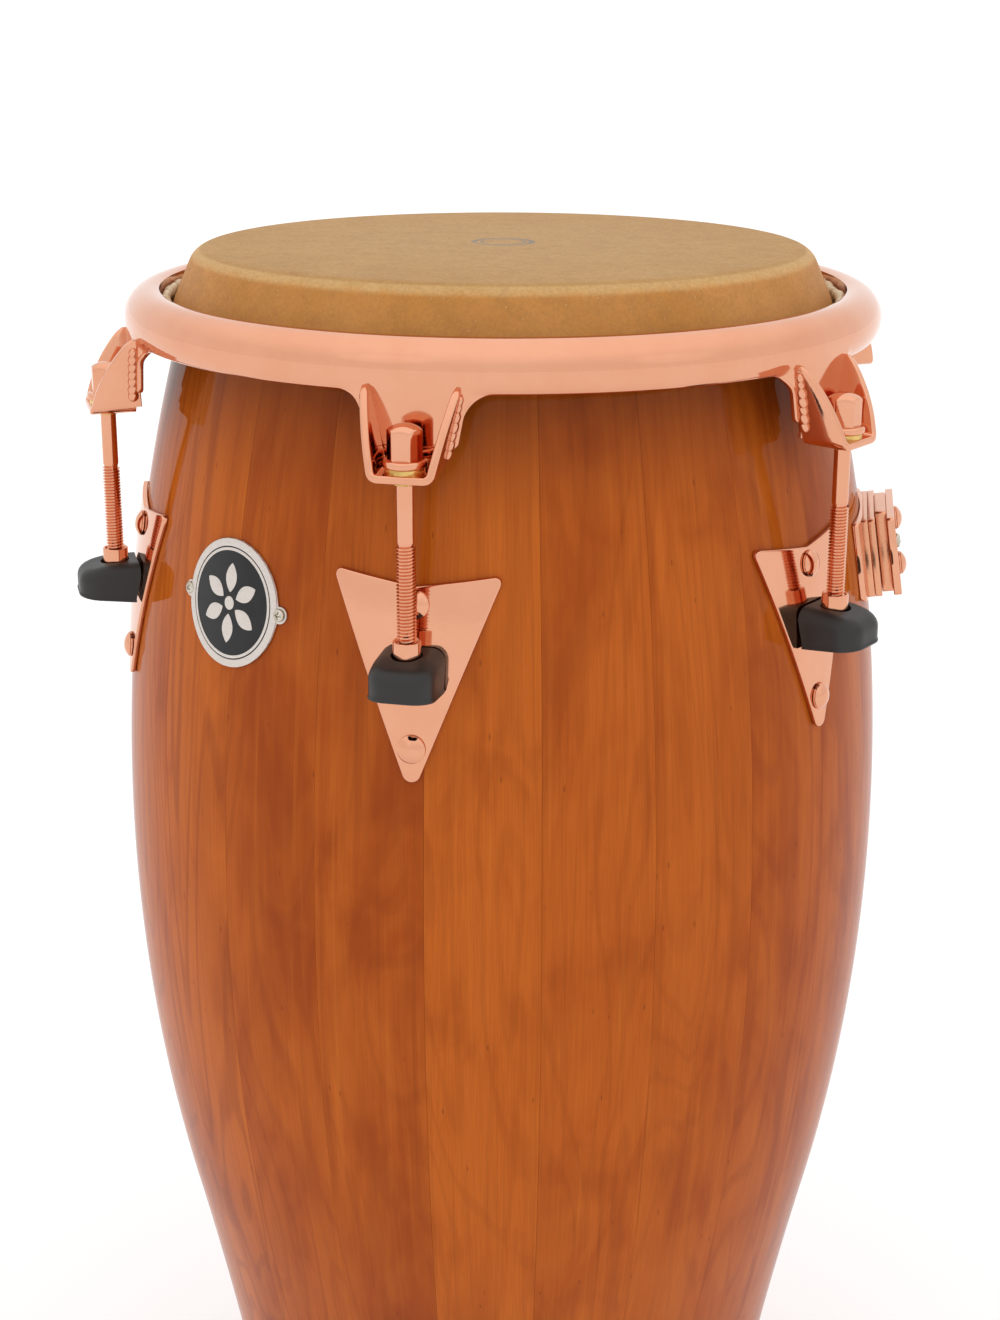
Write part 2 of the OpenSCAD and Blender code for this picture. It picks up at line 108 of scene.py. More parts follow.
WAIST_TILT = math.asin((BELLY_Z - WAIST_Z) / BELLY_ARC)
WAIST_R = BELLY_R - BELLY_ARC * (1 - math.cos(WAIST_TILT))
WAIST_NORMAL = Vector((math.cos(WAIST_TILT), -math.sin(WAIST_TILT)))
WAIST_RISE = Vector((WAIST_R - FOOT_R, WAIST_Z))
FLARE_ARC = -WAIST_RISE.length_squared / (2 * WAIST_RISE.dot(WAIST_NORMAL))
FLARE_MID = Vector((WAIST_R, WAIST_Z)) + FLARE_ARC * WAIST_NORMAL


def shell_r(z):
    """Outer radius of the staves at height z."""
    if z > WAIST_Z:
        return BELLY_R - BELLY_ARC + math.sqrt(BELLY_ARC ** 2 - (z - BELLY_Z) ** 2)
    return FLARE_MID.x - math.sqrt(FLARE_ARC ** 2 - (z - FLARE_MID.y) ** 2)


def shell_lean(z):
    """How far the outward normal of the staves is tipped up at height z, in radians."""
    step = 0.5 * MM
    return math.atan2(shell_r(z - step) - shell_r(z + step), 2 * step)


def lug_angle(i):
    return math.radians(30 + i * 360 / LUGS)


# ---- frames: a local x along the rim, y up and z outwards ----

def radial(angle):
    along = Vector((math.cos(angle), math.sin(angle), 0))
    out = Vector((math.sin(angle), -math.cos(angle), 0))
    return Matrix((along, (0, 0, 1), out)).transposed().to_4x4()


def on_shell(angle, z):
    """Origin on the staves' surface, z square to it."""
    return (radial(angle) @ Matrix.Translation((0, z, shell_r(z)))
            @ Matrix.Rotation(-shell_lean(z), 4, "X"))


def upright(i):
    """At lug i: z up, y towards the drum's axis."""
    return Matrix.Rotation(lug_angle(i), 4, "Z") @ Matrix.Translation((0, -LUG_R, 0))


# ---- outlines ----

def rounded(rows, steps=6, closed=True):
    """A line through rows of (x, y, corner radius), with an arc at each corner that has one."""
    out = []
    n = len(rows)
    for i, (x, y, r) in enumerate(rows):
        here = Vector((x, y))
        if r == 0 or (not closed and i in (0, n - 1)):
            out.append(tuple(here))
            continue
        u = (Vector(rows[i - 1][:2]) - here).normalized()
        v = (Vector(rows[(i + 1) % n][:2]) - here).normalized()
        half = u.angle(v) / 2
        mid = here + (u + v).normalized() * r / math.sin(half)
        start = here + u * r / math.tan(half) - mid
        turn = start.angle_signed(here + v * r / math.tan(half) - mid)
        out += [tuple(mid + Matrix.Rotation(-turn * k / steps, 2) @ start) for k in range(steps + 1)]
    return out


def divided(line, step):
    """The same line with extra points, so that no stretch is longer than step."""
    out = [line[0]]
    for a, b in zip(line, line[1:]):
        a, b = np.array(a, float), np.array(b, float)
        n = max(1, math.ceil(np.linalg.norm(b - a) / step))
        out += [tuple(a + (b - a) * k / n) for k in range(1, n + 1)]
    return out


def smoothstep(low, high, x):
    t = min(1.0, max(0.0, (x - low) / (high - low)))
    return t * t * (3 - 2 * t)


# ---- meshes ----

def grid_faces(rows, cols, close_rows=False, close_cols=False):
    faces = []
    for i in range(rows if close_rows else rows - 1):
        for j in range(cols if close_cols else cols - 1):
            i2, j2 = (i + 1) % rows, (j + 1) % cols
            faces.append((i * cols + j, i * cols + j2, i2 * cols + j2, i2 * cols + j))
    return faces


def joined(*parts):
    """Several (vertices, faces) as one."""
    verts, faces = [], []
    for v, f in parts:
        base = len(verts)
        verts += list(v)
        faces += [tuple(k + base for k in face) for face in f]
    return verts, faces


def placed(part, matrix):
    verts, faces = part
    return [matrix @ Vector(v) for v in verts], faces


def lathe(profile, segments=64, closed=True):
    """A profile of (radius, height) turned about z; an open profile starts and ends on the axis."""
    verts = [(r * math.cos(2 * math.pi * k / segments), r * math.sin(2 * math.pi * k / segments), z)
             for k in range(segments) for r, z in profile]
    return verts, grid_faces(segments, len(profile), True, closed)


def shown(mesh, material, body, nodes):
    """The mesh as an object of its own name, riding on a body and standing for CAD nodes."""
    obj = bpy.data.objects.new(mesh.name, mesh)
    bpy.context.scene.collection.objects.link(obj)
    mesh.materials.append(material)
    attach(obj, body)
    if nodes:
        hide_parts(*nodes)
    return obj


def piece(name, part, material, body, nodes=(), sharp=40, merge=1e-6):
    """One named mesh of closed shells."""
    mesh = bpy.data.meshes.new(name)
    mesh.from_pydata([tuple(v) for v in part[0]], [], part[1])
    bm = bmesh.new()
    bm.from_mesh(mesh)
    bmesh.ops.remove_doubles(bm, verts=bm.verts, dist=merge)
    bmesh.ops.dissolve_degenerate(bm, dist=merge, edges=bm.edges)
    bmesh.ops.recalc_face_normals(bm, faces=bm.faces)
    bm.to_mesh(mesh)
    bm.free()
    mesh.shade_smooth()
    mesh.set_sharp_from_angle(angle=math.radians(sharp))
    return shown(mesh, material, body, nodes)


ROLL = [(1 - math.cos(a), 1 - math.sin(a)) for a in (0, math.pi / 6, math.pi / 3, math.pi / 2)]


def edge_inset(line, closed):
    """Unit normals that point into the left side of a line."""
    p = np.array(line, float)
    if closed:
        d = np.roll(p, -1, 0) - np.roll(p, 1, 0)
    else:
        d = np.gradient(p, axis=0)
    d /= np.linalg.norm(d, axis=1)[:, None]
    return np.stack([-d[:, 1], d[:, 0]], 1)


def plate(low, high, thickness, edge, mapping, rows=10):
    """A plate with rolled edges. low and high are its lower and upper outlines from left to right,
    point for point; mapping(x, y, depth) puts a point of it in space, depth 0 being its face."""
    n = len(low)
    outline = [tuple(p) for p in low] + [tuple(p) for p in reversed(high[1:-1])]
    normals = edge_inset(outline, True)
    rim = np.array(outline, float)
    count = len(rim)
    verts, faces = [], []

    def ring(inset, depth):
        verts.extend(mapping(x, y, depth) for x, y in rim + normals * inset)

    support = edge * 1.6
    ring(support, 0)
    for deep, inset in ROLL:
        ring(edge * inset, edge * deep)
    for deep, inset in reversed(ROLL):
        ring(edge * inset, thickness - edge * deep)
    ring(support, thickness)
    faces += grid_faces(2 * len(ROLL) + 2, count, close_cols=True)
    inner = rim + normals * support
    for depth, first in ((0, 0), (thickness, (2 * len(ROLL) + 1) * count)):
        index = {}
        for i in range(1, n - 1):
            index[i, 0] = first + i
            index[i, rows] = first + count - i
            for j in range(1, rows):
                x, y = inner[i] + (inner[count - i] - inner[i]) * j / rows
                index[i, j] = len(verts)
                verts.append(mapping(x, y, depth))
        for i in range(1, n - 2):
            for j in range(rows):
                faces.append((index[i, j], index[i + 1, j], index[i + 1, j + 1], index[i, j + 1]))
        for i, tip in ((1, first), (n - 2, first + n - 1)):
            for j in range(rows):
                faces.append((index[i, j], index[i, j + 1], tip))
    return verts, faces


def on_skin(angle, off):
    """A mapping for plate(): a plate bent to the staves, its back off the wood by GAP."""
    frame_at = radial(angle)

    def mapping(x, y, depth):
        r = shell_r(y) + GAP + off - depth
        return frame_at @ Vector((x, y, math.sqrt(r * r - x * x)))
    return mapping


def flat(matrix, top):
    """A mapping for plate(): a flat plate whose face is at height top of a frame."""
    return lambda x, y, depth: matrix @ Vector((x, y, top - depth))


def by_columns(half, xs):
    """Heights of a half outline, given from its outer end to the middle, at each x."""
    line = np.array(sorted(half), float)
    return [(x, float(np.interp(abs(x), line[:, 0], line[:, 1]))) for x in xs]


# ---- materials ----

class Nodes:
    """Short calls for the nodes of a tree."""

    def __init__(self, tree):
        self.tree = tree

    def node(self, kind, inputs=(), **fields):
        made = self.tree.nodes.new("ShaderNode" + kind)
        for key, value in fields.items():
            setattr(made, key, value)
        for key, value in dict(inputs).items():
            self.put(made.inputs[key], value)
        return made

    def put(self, socket, value):
        if isinstance(value, bpy.types.NodeSocket):
            self.tree.links.new(value, socket)
        else:
            socket.default_value = value

    def place(self):
        return self.node("TexCoord").outputs["Object"]

    def scaled(self, vector, x, y, z):
        return self.node("Mapping", {"Vector": vector, "Scale": (x, y, z)}).outputs["Vector"]

    def noise(self, vector, scale, detail=3, rough=0.5, bend=0.0):
        return self.node("TexNoise", {"Vector": vector, "Scale": scale, "Detail": detail,
                                      "Roughness": rough, "Distortion": bend}).outputs["Fac"]

    def cells(self, vector, scale, feature="F1"):
        return self.node("TexVoronoi", {"Vector": vector, "Scale": scale}, feature=feature).outputs["Distance"]

    def ramp(self, value, stops):
        made = self.node("ValToRGB", {"Fac": value})
        for k, (at, colour) in enumerate(stops):
            if k < 2:
                stop = made.color_ramp.elements[k]
                stop.position = at
            else:
                stop = made.color_ramp.elements.new(at)
            stop.color = (*colour, 1) if len(colour) == 3 else colour
        return made.outputs["Color"]

    def level(self, value, low, high, to_low=0.0, to_high=1.0):
        return self.node("MapRange", {"Value": value, "From Min": low, "From Max": high,
                                      "To Min": to_low, "To Max": to_high},
                         interpolation_type="SMOOTHSTEP").outputs["Result"]

    def maths(self, operation, a, b=0.0):
        made = self.node("Math", operation=operation)
        self.put(made.inputs[0], a)
        self.put(made.inputs[1], b)
        return made.outputs[0]

    def mix(self, factor, a, b, blend="MIX"):
        made = self.node("Mix", data_type="RGBA", blend_type=blend)
        self.put(made.inputs[0], factor)
        for socket, value in ((made.inputs[6], a), (made.inputs[7], b)):
            self.put(socket, (*value, 1) if isinstance(value, tuple) and len(value) == 3 else value)
        return made.outputs[2]

    def between(self, field, a, b):
        """Two colours, blended by the middle range of a noise."""
        return self.mix(self.level(field, 0.3, 0.7), a, b)

    def over(self, under, field, low, high, amount, colour):
        """A colour laid over another, up to an amount, where a field goes from low to high."""
        return self.mix(self.level(field, low, high, 0.0, amount), under, colour)


class Surface(Nodes):
    """A principled material."""

    def __init__(self, name, **sockets):
        self.material = bpy.data.materials.new(name)
        self.material.use_nodes = True
        super().__init__(self.material.node_tree)
        self.shader = self.tree.nodes["Principled BSDF"]
        for key, value in sockets.items():
            self.shader.inputs[key.replace("_", " ")].default_value = value

    def set(self, socket, value):
        self.put(self.shader.inputs[socket], value)

    def bump(self, height, strength, depth):
        normal = self.node("Bump", {"Height": height, "Strength": strength, "Distance": depth})
        self.set("Normal", normal.outputs["Normal"])


def wood_material():
    """Stained and lacquered staves; the vertices carry their place along and across the grain."""
    s = Surface("stained_wood", Roughness=0.5, Specular_IOR_Level=0.0, Coat_Weight=0.58, Coat_Roughness=0.03,
                Coat_IOR=1.26)
    grain = s.node("Attribute", attribute_name="grain").outputs["Vector"]
    tone = s.node("Attribute", attribute_name="tone").outputs["Fac"]
    figure = s.node("Attribute", attribute_name="figure").outputs["Fac"]
    broad = s.noise(s.scaled(grain, 26, 6, 26), 1.0, 4, 0.55, 1.0)
    streaks = s.noise(s.scaled(grain, 210, 3.6, 210), 1.0, 5, 0.65, 0.5)
    fibres = s.noise(s.scaled(grain, 2200, 36, 2200), 1.0, 3, 0.6)
    growth = s.noise(s.scaled(grain, 15, 2.4, 15), 1.0, 2, 0.45, 0.5)
    rings = s.maths("SINE", s.maths("MULTIPLY", growth, 95.0))
    curl = s.noise(s.scaled(grain, 30, 15, 30), 1.0, 3, 0.55, 0.7)
    base = s.ramp(tone, [(0.0, (0.335, 0.061, 0.0054)), (1.0, (0.468, 0.104, 0.0096)),
                         (0.5, (0.402, 0.082, 0.0075))])
    mixed = s.over(base, broad, 0.36, 0.66, 0.55, (0.465, 0.110, 0.0120))
    mixed = s.over(mixed, broad, 0.52, 0.28, 0.48, (0.235, 0.037, 0.0030))
    mixed = s.over(mixed, curl, 0.40, 0.68, 0.30, (0.495, 0.122, 0.0140))
    mixed = s.over(mixed, curl, 0.47, 0.28, 0.32, (0.230, 0.037, 0.0030))
    mixed = s.mix(s.maths("MULTIPLY", s.level(rings, 0.45, 1.0), s.level(figure, 0.0, 1.0, 0.14, 0.42)),
                  mixed, (0.190, 0.029, 0.0025))
    mixed = s.over(mixed, streaks, 0.50, 0.75, 0.33, (0.195, 0.032, 0.0030))
    mixed = s.over(mixed, streaks, 0.48, 0.28, 0.24, (0.580, 0.155, 0.0180))
    mixed = s.over(mixed, fibres, 0.37, 0.69, 0.20, (0.170, 0.028, 0.0030))
    specks = s.cells(s.scaled(grain, 130, 36, 130), 1.0)
    mixed = s.over(mixed, specks, 0.075, 0.03, 0.50, (0.120, 0.020, 0.0040))
    # painted shade: the wood is darkened towards its top, where the rim overhangs it
    high = s.node("SeparateXYZ", {"Vector": s.place()}).outputs[2]
    mixed = s.over(mixed, high, 0.660, 0.716, 0.46, (0.120, 0.020, 0.0030))
    s.set("Base Color", mixed)
    s.bump(fibres, 0.02, 0.05 * MM)
    return s.material


def skin_material():
    """The struck face and the collar of the head: matt and mottled, with a painted highlight along its crown.
    """
    s = Surface("head_hide", Roughness=0.58, Specular_IOR_Level=0.12)
    place = s.place()
    split = s.node("SeparateXYZ", {"Vector": place})
    flat_place = s.node("CombineXYZ", {"X": split.outputs[0], "Y": split.outputs[1]}).outputs[0]
    radius = s.node("VectorMath", {0: flat_place}, operation="LENGTH").outputs["Value"]
    clouds = s.noise(place, 14, 5, 0.6, 0.4)
    mottle = s.noise(place, 95, 5, 0.65)
    grit = s.noise(place, 620, 4, 0.7)
    face = s.between(clouds, (0.425, 0.232, 0.074), (0.475, 0.275, 0.096))
    middle = s.mix(s.level(radius, 0.155, 0.05), face, (0.460, 0.268, 0.100))
    skirt = s.between(clouds, (0.470, 0.203, 0.044), (0.550, 0.252, 0.072))
    colour = s.mix(s.level(split.outputs[2], HEAD_TOP - 1.8 * MM, HEAD_TOP - 3.6 * MM), middle, skirt)
    # a painted highlight: a thin pale line along the crown, broken up by the mottle
    crown = s.maths("MULTIPLY", s.level(radius, 0.1445, 0.1465),
                    s.level(split.outputs[2], HEAD_TOP - 5.5 * MM, HEAD_TOP - 3.2 * MM))
    crown_highlight = s.maths("MULTIPLY", crown, s.level(mottle, 0.38, 0.62, 0.40, 0.80))
    colour = s.mix(crown_highlight, colour, (0.660, 0.420, 0.180))
    colour = s.over(colour, mottle, 0.40, 0.70, 0.30, (0.300, 0.140, 0.045))
    flecks = s.cells(place, 420)
    fleck = s.maths("MULTIPLY", s.level(flecks, 0.22, 0.06, 0.0, 0.42), s.level(mottle, 0.46, 0.66))
    colour = s.mix(fleck, colour, (0.74, 0.53, 0.30))
    pores = s.cells(place, 640)
    colour = s.over(colour, pores, 0.17, 0.05, 0.42, (0.22, 0.095, 0.030))
    colour = s.over(colour, grit, 0.38, 0.66, 0.26, (0.28, 0.135, 0.050))
    # the plain double ring printed in the middle
    wear = s.level(mottle, 0.30, 0.55, 0.35, 1.0)
    for ring_r, half in ((14.2 * MM, 1.3 * MM), (10.6 * MM, 0.5 * MM)):
        off = s.maths("ABSOLUTE", s.maths("SUBTRACT", radius, ring_r))
        ink = s.maths("MULTIPLY", s.level(off, half + 0.25 * MM, half), wear)
        top_only = s.maths("MULTIPLY", ink, s.level(split.outputs[2], HEAD_TOP - 1 * MM, HEAD_TOP - 0.3 * MM))
        colour = s.mix(s.maths("MULTIPLY", top_only, 0.90), colour, (0.200, 0.180, 0.150))
    s.set("Base Color", colour)
    s.set("Roughness", s.level(grit, 0.2, 0.8, 0.50, 0.68))
    height = s.maths("ADD", s.maths("MULTIPLY", mottle, 0.8), s.maths("MULTIPLY", grit, 0.35))
    s.bump(height, 0.35, 0.25 * MM)
    return s.material


def hide_edge_material():
    s = Surface("raw_hide_edge", Roughness=0.6, Specular_IOR_Level=0.4)
    place = s.place()
    patches = s.noise(place, 160, 4, 0.6)
    creases = s.noise(s.scaled(place, 1, 1, 3), 420, 4, 0.65, 0.6)
    colour = s.between(patches, (0.60, 0.44, 0.26), (0.80, 0.68, 0.48))
    s.set("Base Color", s.mix(s.level(creases, 0.45, 0.7, 0.0, 0.5), colour, (0.36, 0.21, 0.09)))
    s.bump(creases, 0.6, 0.5 * MM)
    return s.material


def copper_material(name="copper_plate", colour=(0.740, 0.360, 0.226), rough=0.05, grain=0.0, pits=0.0):
    """Bright copper plating; grain roughens it as on a sawn edge."""
    s = Surface(name, Metallic=1.0, Specular_IOR_Level=0.5)
    place = s.place()
    haze = s.noise(place, 40, 4, 0.6)
    fine = s.noise(place, 900, 3, 0.6)
    tint = tuple(c * f for c, f in zip(colour, (0.965, 0.93, 0.90)))
    s.set("Base Color", s.between(haze, colour, tint))
    s.set("Roughness", s.level(haze, 0.25, 0.75, rough, rough + 0.045))
    height = s.maths("ADD", s.noise(place, 130, 2, 0.5), s.maths("MULTIPLY", fine, 0.05))
    if grain:
        saw = s.noise(s.scaled(place, 1, 1, 2.5), 700, 4, 0.7)
        height = s.maths("ADD", height, s.maths("MULTIPLY", saw, grain))
    if pits:
        holes = s.level(s.cells(place, 700), 0.12, 0.02)
        height = s.maths("SUBTRACT", height, s.maths("MULTIPLY", holes, pits))
    s.bump(height, 0.10, 0.12 * MM)
    return s.material


def brass_material():
    s = Surface("turned_brass", Metallic=1.0)
    place = s.place()
    turning = s.noise(s.scaled(place, 0.4, 0.4, 9), 900, 3, 0.6)
    tarnish = s.noise(place, 220, 4, 0.6)
    s.set("Base Color", s.mix(s.level(tarnish, 0.35, 0.75), (0.72, 0.49, 0.17), (0.48, 0.29, 0.08)))
    s.set("Roughness", s.level(tarnish, 0.3, 0.7, 0.20, 0.36))
    s.bump(turning, 0.25, 0.05 * MM)
    return s.material


def zinc_material():
    s = Surface("zinc_plate", Metallic=1.0)
    place = s.place()
    spangle = s.cells(place, 330)
    streak = s.noise(place, 80, 4, 0.6)
    s.set("Base Color", s.between(streak, (0.62, 0.62, 0.60), (0.46, 0.46, 0.45)))
    s.set("Roughness", s.level(spangle, 0.0, 0.6, 0.26, 0.42))
    s.bump(spangle, 0.12, 0.05 * MM)
    return s.material


def satin_metal(name, stretch, scale, rough, light, dark, shine, strength, depth):
    """A metal whose tint, roughness and relief all follow one noise, stretched along z."""
    s = Surface(name, Metallic=1.0)
    haze = s.noise(s.scaled(s.place(), 1, 1, stretch), scale, 4, rough)
    s.set("Base Color", s.between(haze, light, dark))
    s.set("Roughness", s.level(haze, 0.3, 0.7, *shine))
    s.bump(haze, strength, depth)
    return s.material


def rubber_material(name="moulded_rubber", shade=(0.0150, 0.0132, 0.0120), rough=0.38):
    s = Surface(name, Specular_IOR_Level=0.42)
    place = s.place()
    dust = s.noise(place, 60, 5, 0.6)
    grit = s.noise(place, 1500, 3, 0.65)
    grey = tuple(c * 1.8 + 0.002 for c in shade)
    s.set("Base Color", s.mix(s.level(dust, 0.4, 0.8, 0.0, 0.5), shade, grey))
    s.set("Roughness", s.level(dust, 0.25, 0.75, rough, rough + 0.12))
    s.bump(s.maths("ADD", grit, s.maths("MULTIPLY", dust, 0.6)), 0.16, 0.10 * MM)
    return s.material


def enamel_material():
    s = Surface("black_enamel", Roughness=0.22, Specular_IOR_Level=0.30)
    cloud = s.noise(s.place(), 120, 4, 0.6)
    s.set("Base Color", s.between(cloud, (0.006, 0.006, 0.007), (0.012, 0.011, 0.011)))
    s.bump(cloud, 0.08, 0.05 * MM)
    return s.material


WOOD = wood_material()
SKIN = skin_material()
HIDE = hide_edge_material()
COPPER = copper_material()
COPPER_RIM = copper_material("copper_over_rolled_steel", rough=0.06)
COPPER_CAST = copper_material("copper_over_weld", rough=0.10, grain=0.8, pits=1.2)
COPPER_SAWN = copper_material("copper_over_sawn_steel", (0.72, 0.34, 0.20), 0.16, grain=2.4, pits=0.6)
BRASS = brass_material()
ZINC = zinc_material()
NICKEL = satin_metal("nickel_plate", 1, 300, 0.6, (0.62, 0.57, 0.48), (0.46, 0.41, 0.33), (0.14, 0.26),
                     0.1, 0.04 * MM)
RUBBER = rubber_material()
FOOT_RUBBER = rubber_material("foot_rubber", (0.020, 0.019, 0.019), 0.55)
BADGE = satin_metal("badge_satin", 12, 260, 0.65, (0.66, 0.60, 0.555), (0.58, 0.52, 0.475), (0.27, 0.36),
                    0.05, 0.02 * MM)
ENAMEL = enamel_material()


# ---- shell ----

def stave(k, draw):
    """One stave: a wedge of the shell with a rolled bearing edge and a hairline bevel at each seam."""
    top_roll = 4.5 * MM
    glue = 2 * math.asin(0.05 * MM / BELLY_R)
    start = math.radians(SEAM) + k * 2 * math.pi / STAVES
    width = 2 * math.pi / STAVES - glue
    low, high = SHELL_LOW, SHELL_TOP - top_roll
    count = 76
    outer = [(shell_r(z), z) for z in (low + (high - low) * i / count for i in range(count + 1))]
    inner = [(r - WALL, z) for r, z in outer]
    edge_r = outer[-1][0]
    for turn in (22.5, 45, 67.5, 90):
        a = math.radians(turn)
        z = high + top_roll * math.sin(a)
        outer.append((edge_r - top_roll * (1 - math.cos(a)), z))
        inner.append((edge_r - WALL + 2 * MM * (1 - math.cos(a)), z))
    bevel = 0.0014
    turns = [0.0, bevel] + [bevel + (width - 2 * bevel) * i / 9 for i in range(1, 9)] + [width - bevel, width]
    sunk = 0.02 * MM
    seed = Vector((draw.uniform(0, 40), draw.uniform(0, 40), draw.uniform(0, 40)))
    verts, grain, facing = [], [], []
    for turn in turns:
        drop = sunk if turn in (0.0, width) else 0.0
        a = start + glue / 2 + turn
        for side, line in (("out", outer), ("in", inner)):
            for r, z in line:
                radius = r - (drop if side == "out" else 0.0)
                verts.append((radius * math.sin(a), -radius * math.cos(a), z))
                grain.append(seed + Vector(((turn - width / 2) * BELLY_R, z, 0 if side == "out" else WALL)))
                lean = shell_lean(z)
                straight = side == "out" and z <= high + 1e-9
                facing.append(Vector((math.sin(a) * math.cos(lean), -math.cos(a) * math.cos(lean),
                                     math.sin(lean))) if straight else None)
    n = len(outer)
    loop = list(range(n)) + list(range(2 * n - 1, n - 1, -1))
    faces = []
    for c in range(len(turns) - 1):
        for j in range(2 * n):
            p, q = loop[j], loop[(j + 1) % (2 * n)]
            faces.append((c * 2 * n + p, (c + 1) * 2 * n + p, (c + 1) * 2 * n + q, c * 2 * n + q))
    for c in (0, len(turns) - 1):
        for j in range(n - 1):
            ends = (c * 2 * n + j, c * 2 * n + j + 1, c * 2 * n + n + j + 1, c * 2 * n + n + j)
            faces.append(ends if c == 0 else ends[::-1])
    mesh = bpy.data.meshes.new(f"stave_{k + 1}")
    mesh.from_pydata(verts, [], faces)
    mesh.attributes.new("grain", "FLOAT_VECTOR", "POINT").data.foreach_set(
        "vector", np.array([tuple(g) for g in grain], np.float32).ravel())
    for name, value in (("tone", draw.random()), ("figure", draw.random() ** 2)):
        mesh.attributes.new(name, "FLOAT", "POINT").data.foreach_set("value", [value] * len(verts))
    bm = bmesh.new()
    bm.from_mesh(mesh)
    bmesh.ops.recalc_face_normals(bm, faces=bm.faces)
    bm.to_mesh(mesh)
    bm.free()
    mesh.shade_smooth()
    mesh.set_sharp_from_angle(angle=math.radians(50))
    normals = []
    for face in mesh.polygons:
        smooth = all(facing[v] is not None and v // (2 * n) not in (0, len(turns) - 1) for v in face.vertices)
        for v in face.vertices:
            normals.append(facing[v] if smooth else (0, 0, 0))
    mesh.normals_split_custom_set(normals)
    shown(mesh, WOOD, "shell", [f"stave_pair_{k // 2 + 1}"])


def shell():
    draw = random.Random(7)
    for k in range(STAVES):
        stave(k, draw)


# ---- head ----

def head():
    thick = 1.8 * MM
    top = [(0, HEAD_TOP, 0), (147.8 * MM, HEAD_TOP, 10.1 * MM), (158.05 * MM, HEAD_TOP - 24 * MM, 20 * MM),
           (160.4 * MM, HOOP_TOP - 6 * MM, 0)]
    outer = divided(rounded(top, 8, closed=False), 5 * MM)
    inner = [(max(0.0, r - thick * min(1.0, max(0.0, (HEAD_TOP - z) / (6 * MM)))),
              z - thick * max(0.0, 1 - (HEAD_TOP - z) / (6 * MM))) for r, z in outer]
    segments = 288
    verts, faces = lathe(outer + inner[::-1], segments, closed=False)
    draw = random.Random(3)
    waves = [(draw.randint(3, 23), draw.uniform(0, 6.28), draw.uniform(0.02, 0.07) * MM) for _ in range(9)]
    moved = []
    for x, y, z in verts:
        r = math.hypot(x, y)
        a = math.atan2(y, x)
        share = smoothstep(HEAD_TOP - 4 * MM, HEAD_TOP - 16 * MM, z)
        r2 = r + share * sum(size * math.sin(n * a + phase) for n, phase, size in waves)
        moved.append((r2 * math.cos(a), r2 * math.sin(a), z))
    obj = piece("head_skin", (moved, faces), SKIN, "shell", ["head_membrane", "head_collar"], 60)
    obj.parent = None
    del obj["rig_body"]
    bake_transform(obj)


def hide_edge():
    """The gathered edge of the hide, which stands up between the collar and the rim."""
    segments, around = 900, 12
    mid_r, mid_z = 162.2 * MM, HOOP_TOP + 2.6 * MM
    draw = random.Random(11)
    folds = 96
    size = [draw.uniform(0.75, 1.1) for _ in range(folds)]
    lift = [draw.uniform(-0.7, 0.7) * MM for _ in range(folds)]
    verts = []
    for k in range(segments):
        turn = k / segments * folds
        i, u = int(turn) % folds, turn % 1.0
        swell = (0.62 + 0.38 * math.sqrt(max(0.0, 1 - (2 * u - 1) ** 2))) * size[i]
        height = lift[i] * math.sin(math.pi * u)
        a = 2 * math.pi * k / segments
        for j in range(around):
            b = 2 * math.pi * j / around + 0.9 * u
            r = mid_r + 2.6 * MM * swell * math.cos(b)
            verts.append((r * math.sin(a), -r * math.cos(a), mid_z + height + 3.1 * MM * swell * math.sin(b)))
    piece("hide_edge", (verts, grid_faces(segments, around, True, True)), HIDE, "crown", sharp=80)


# ---- rim ----

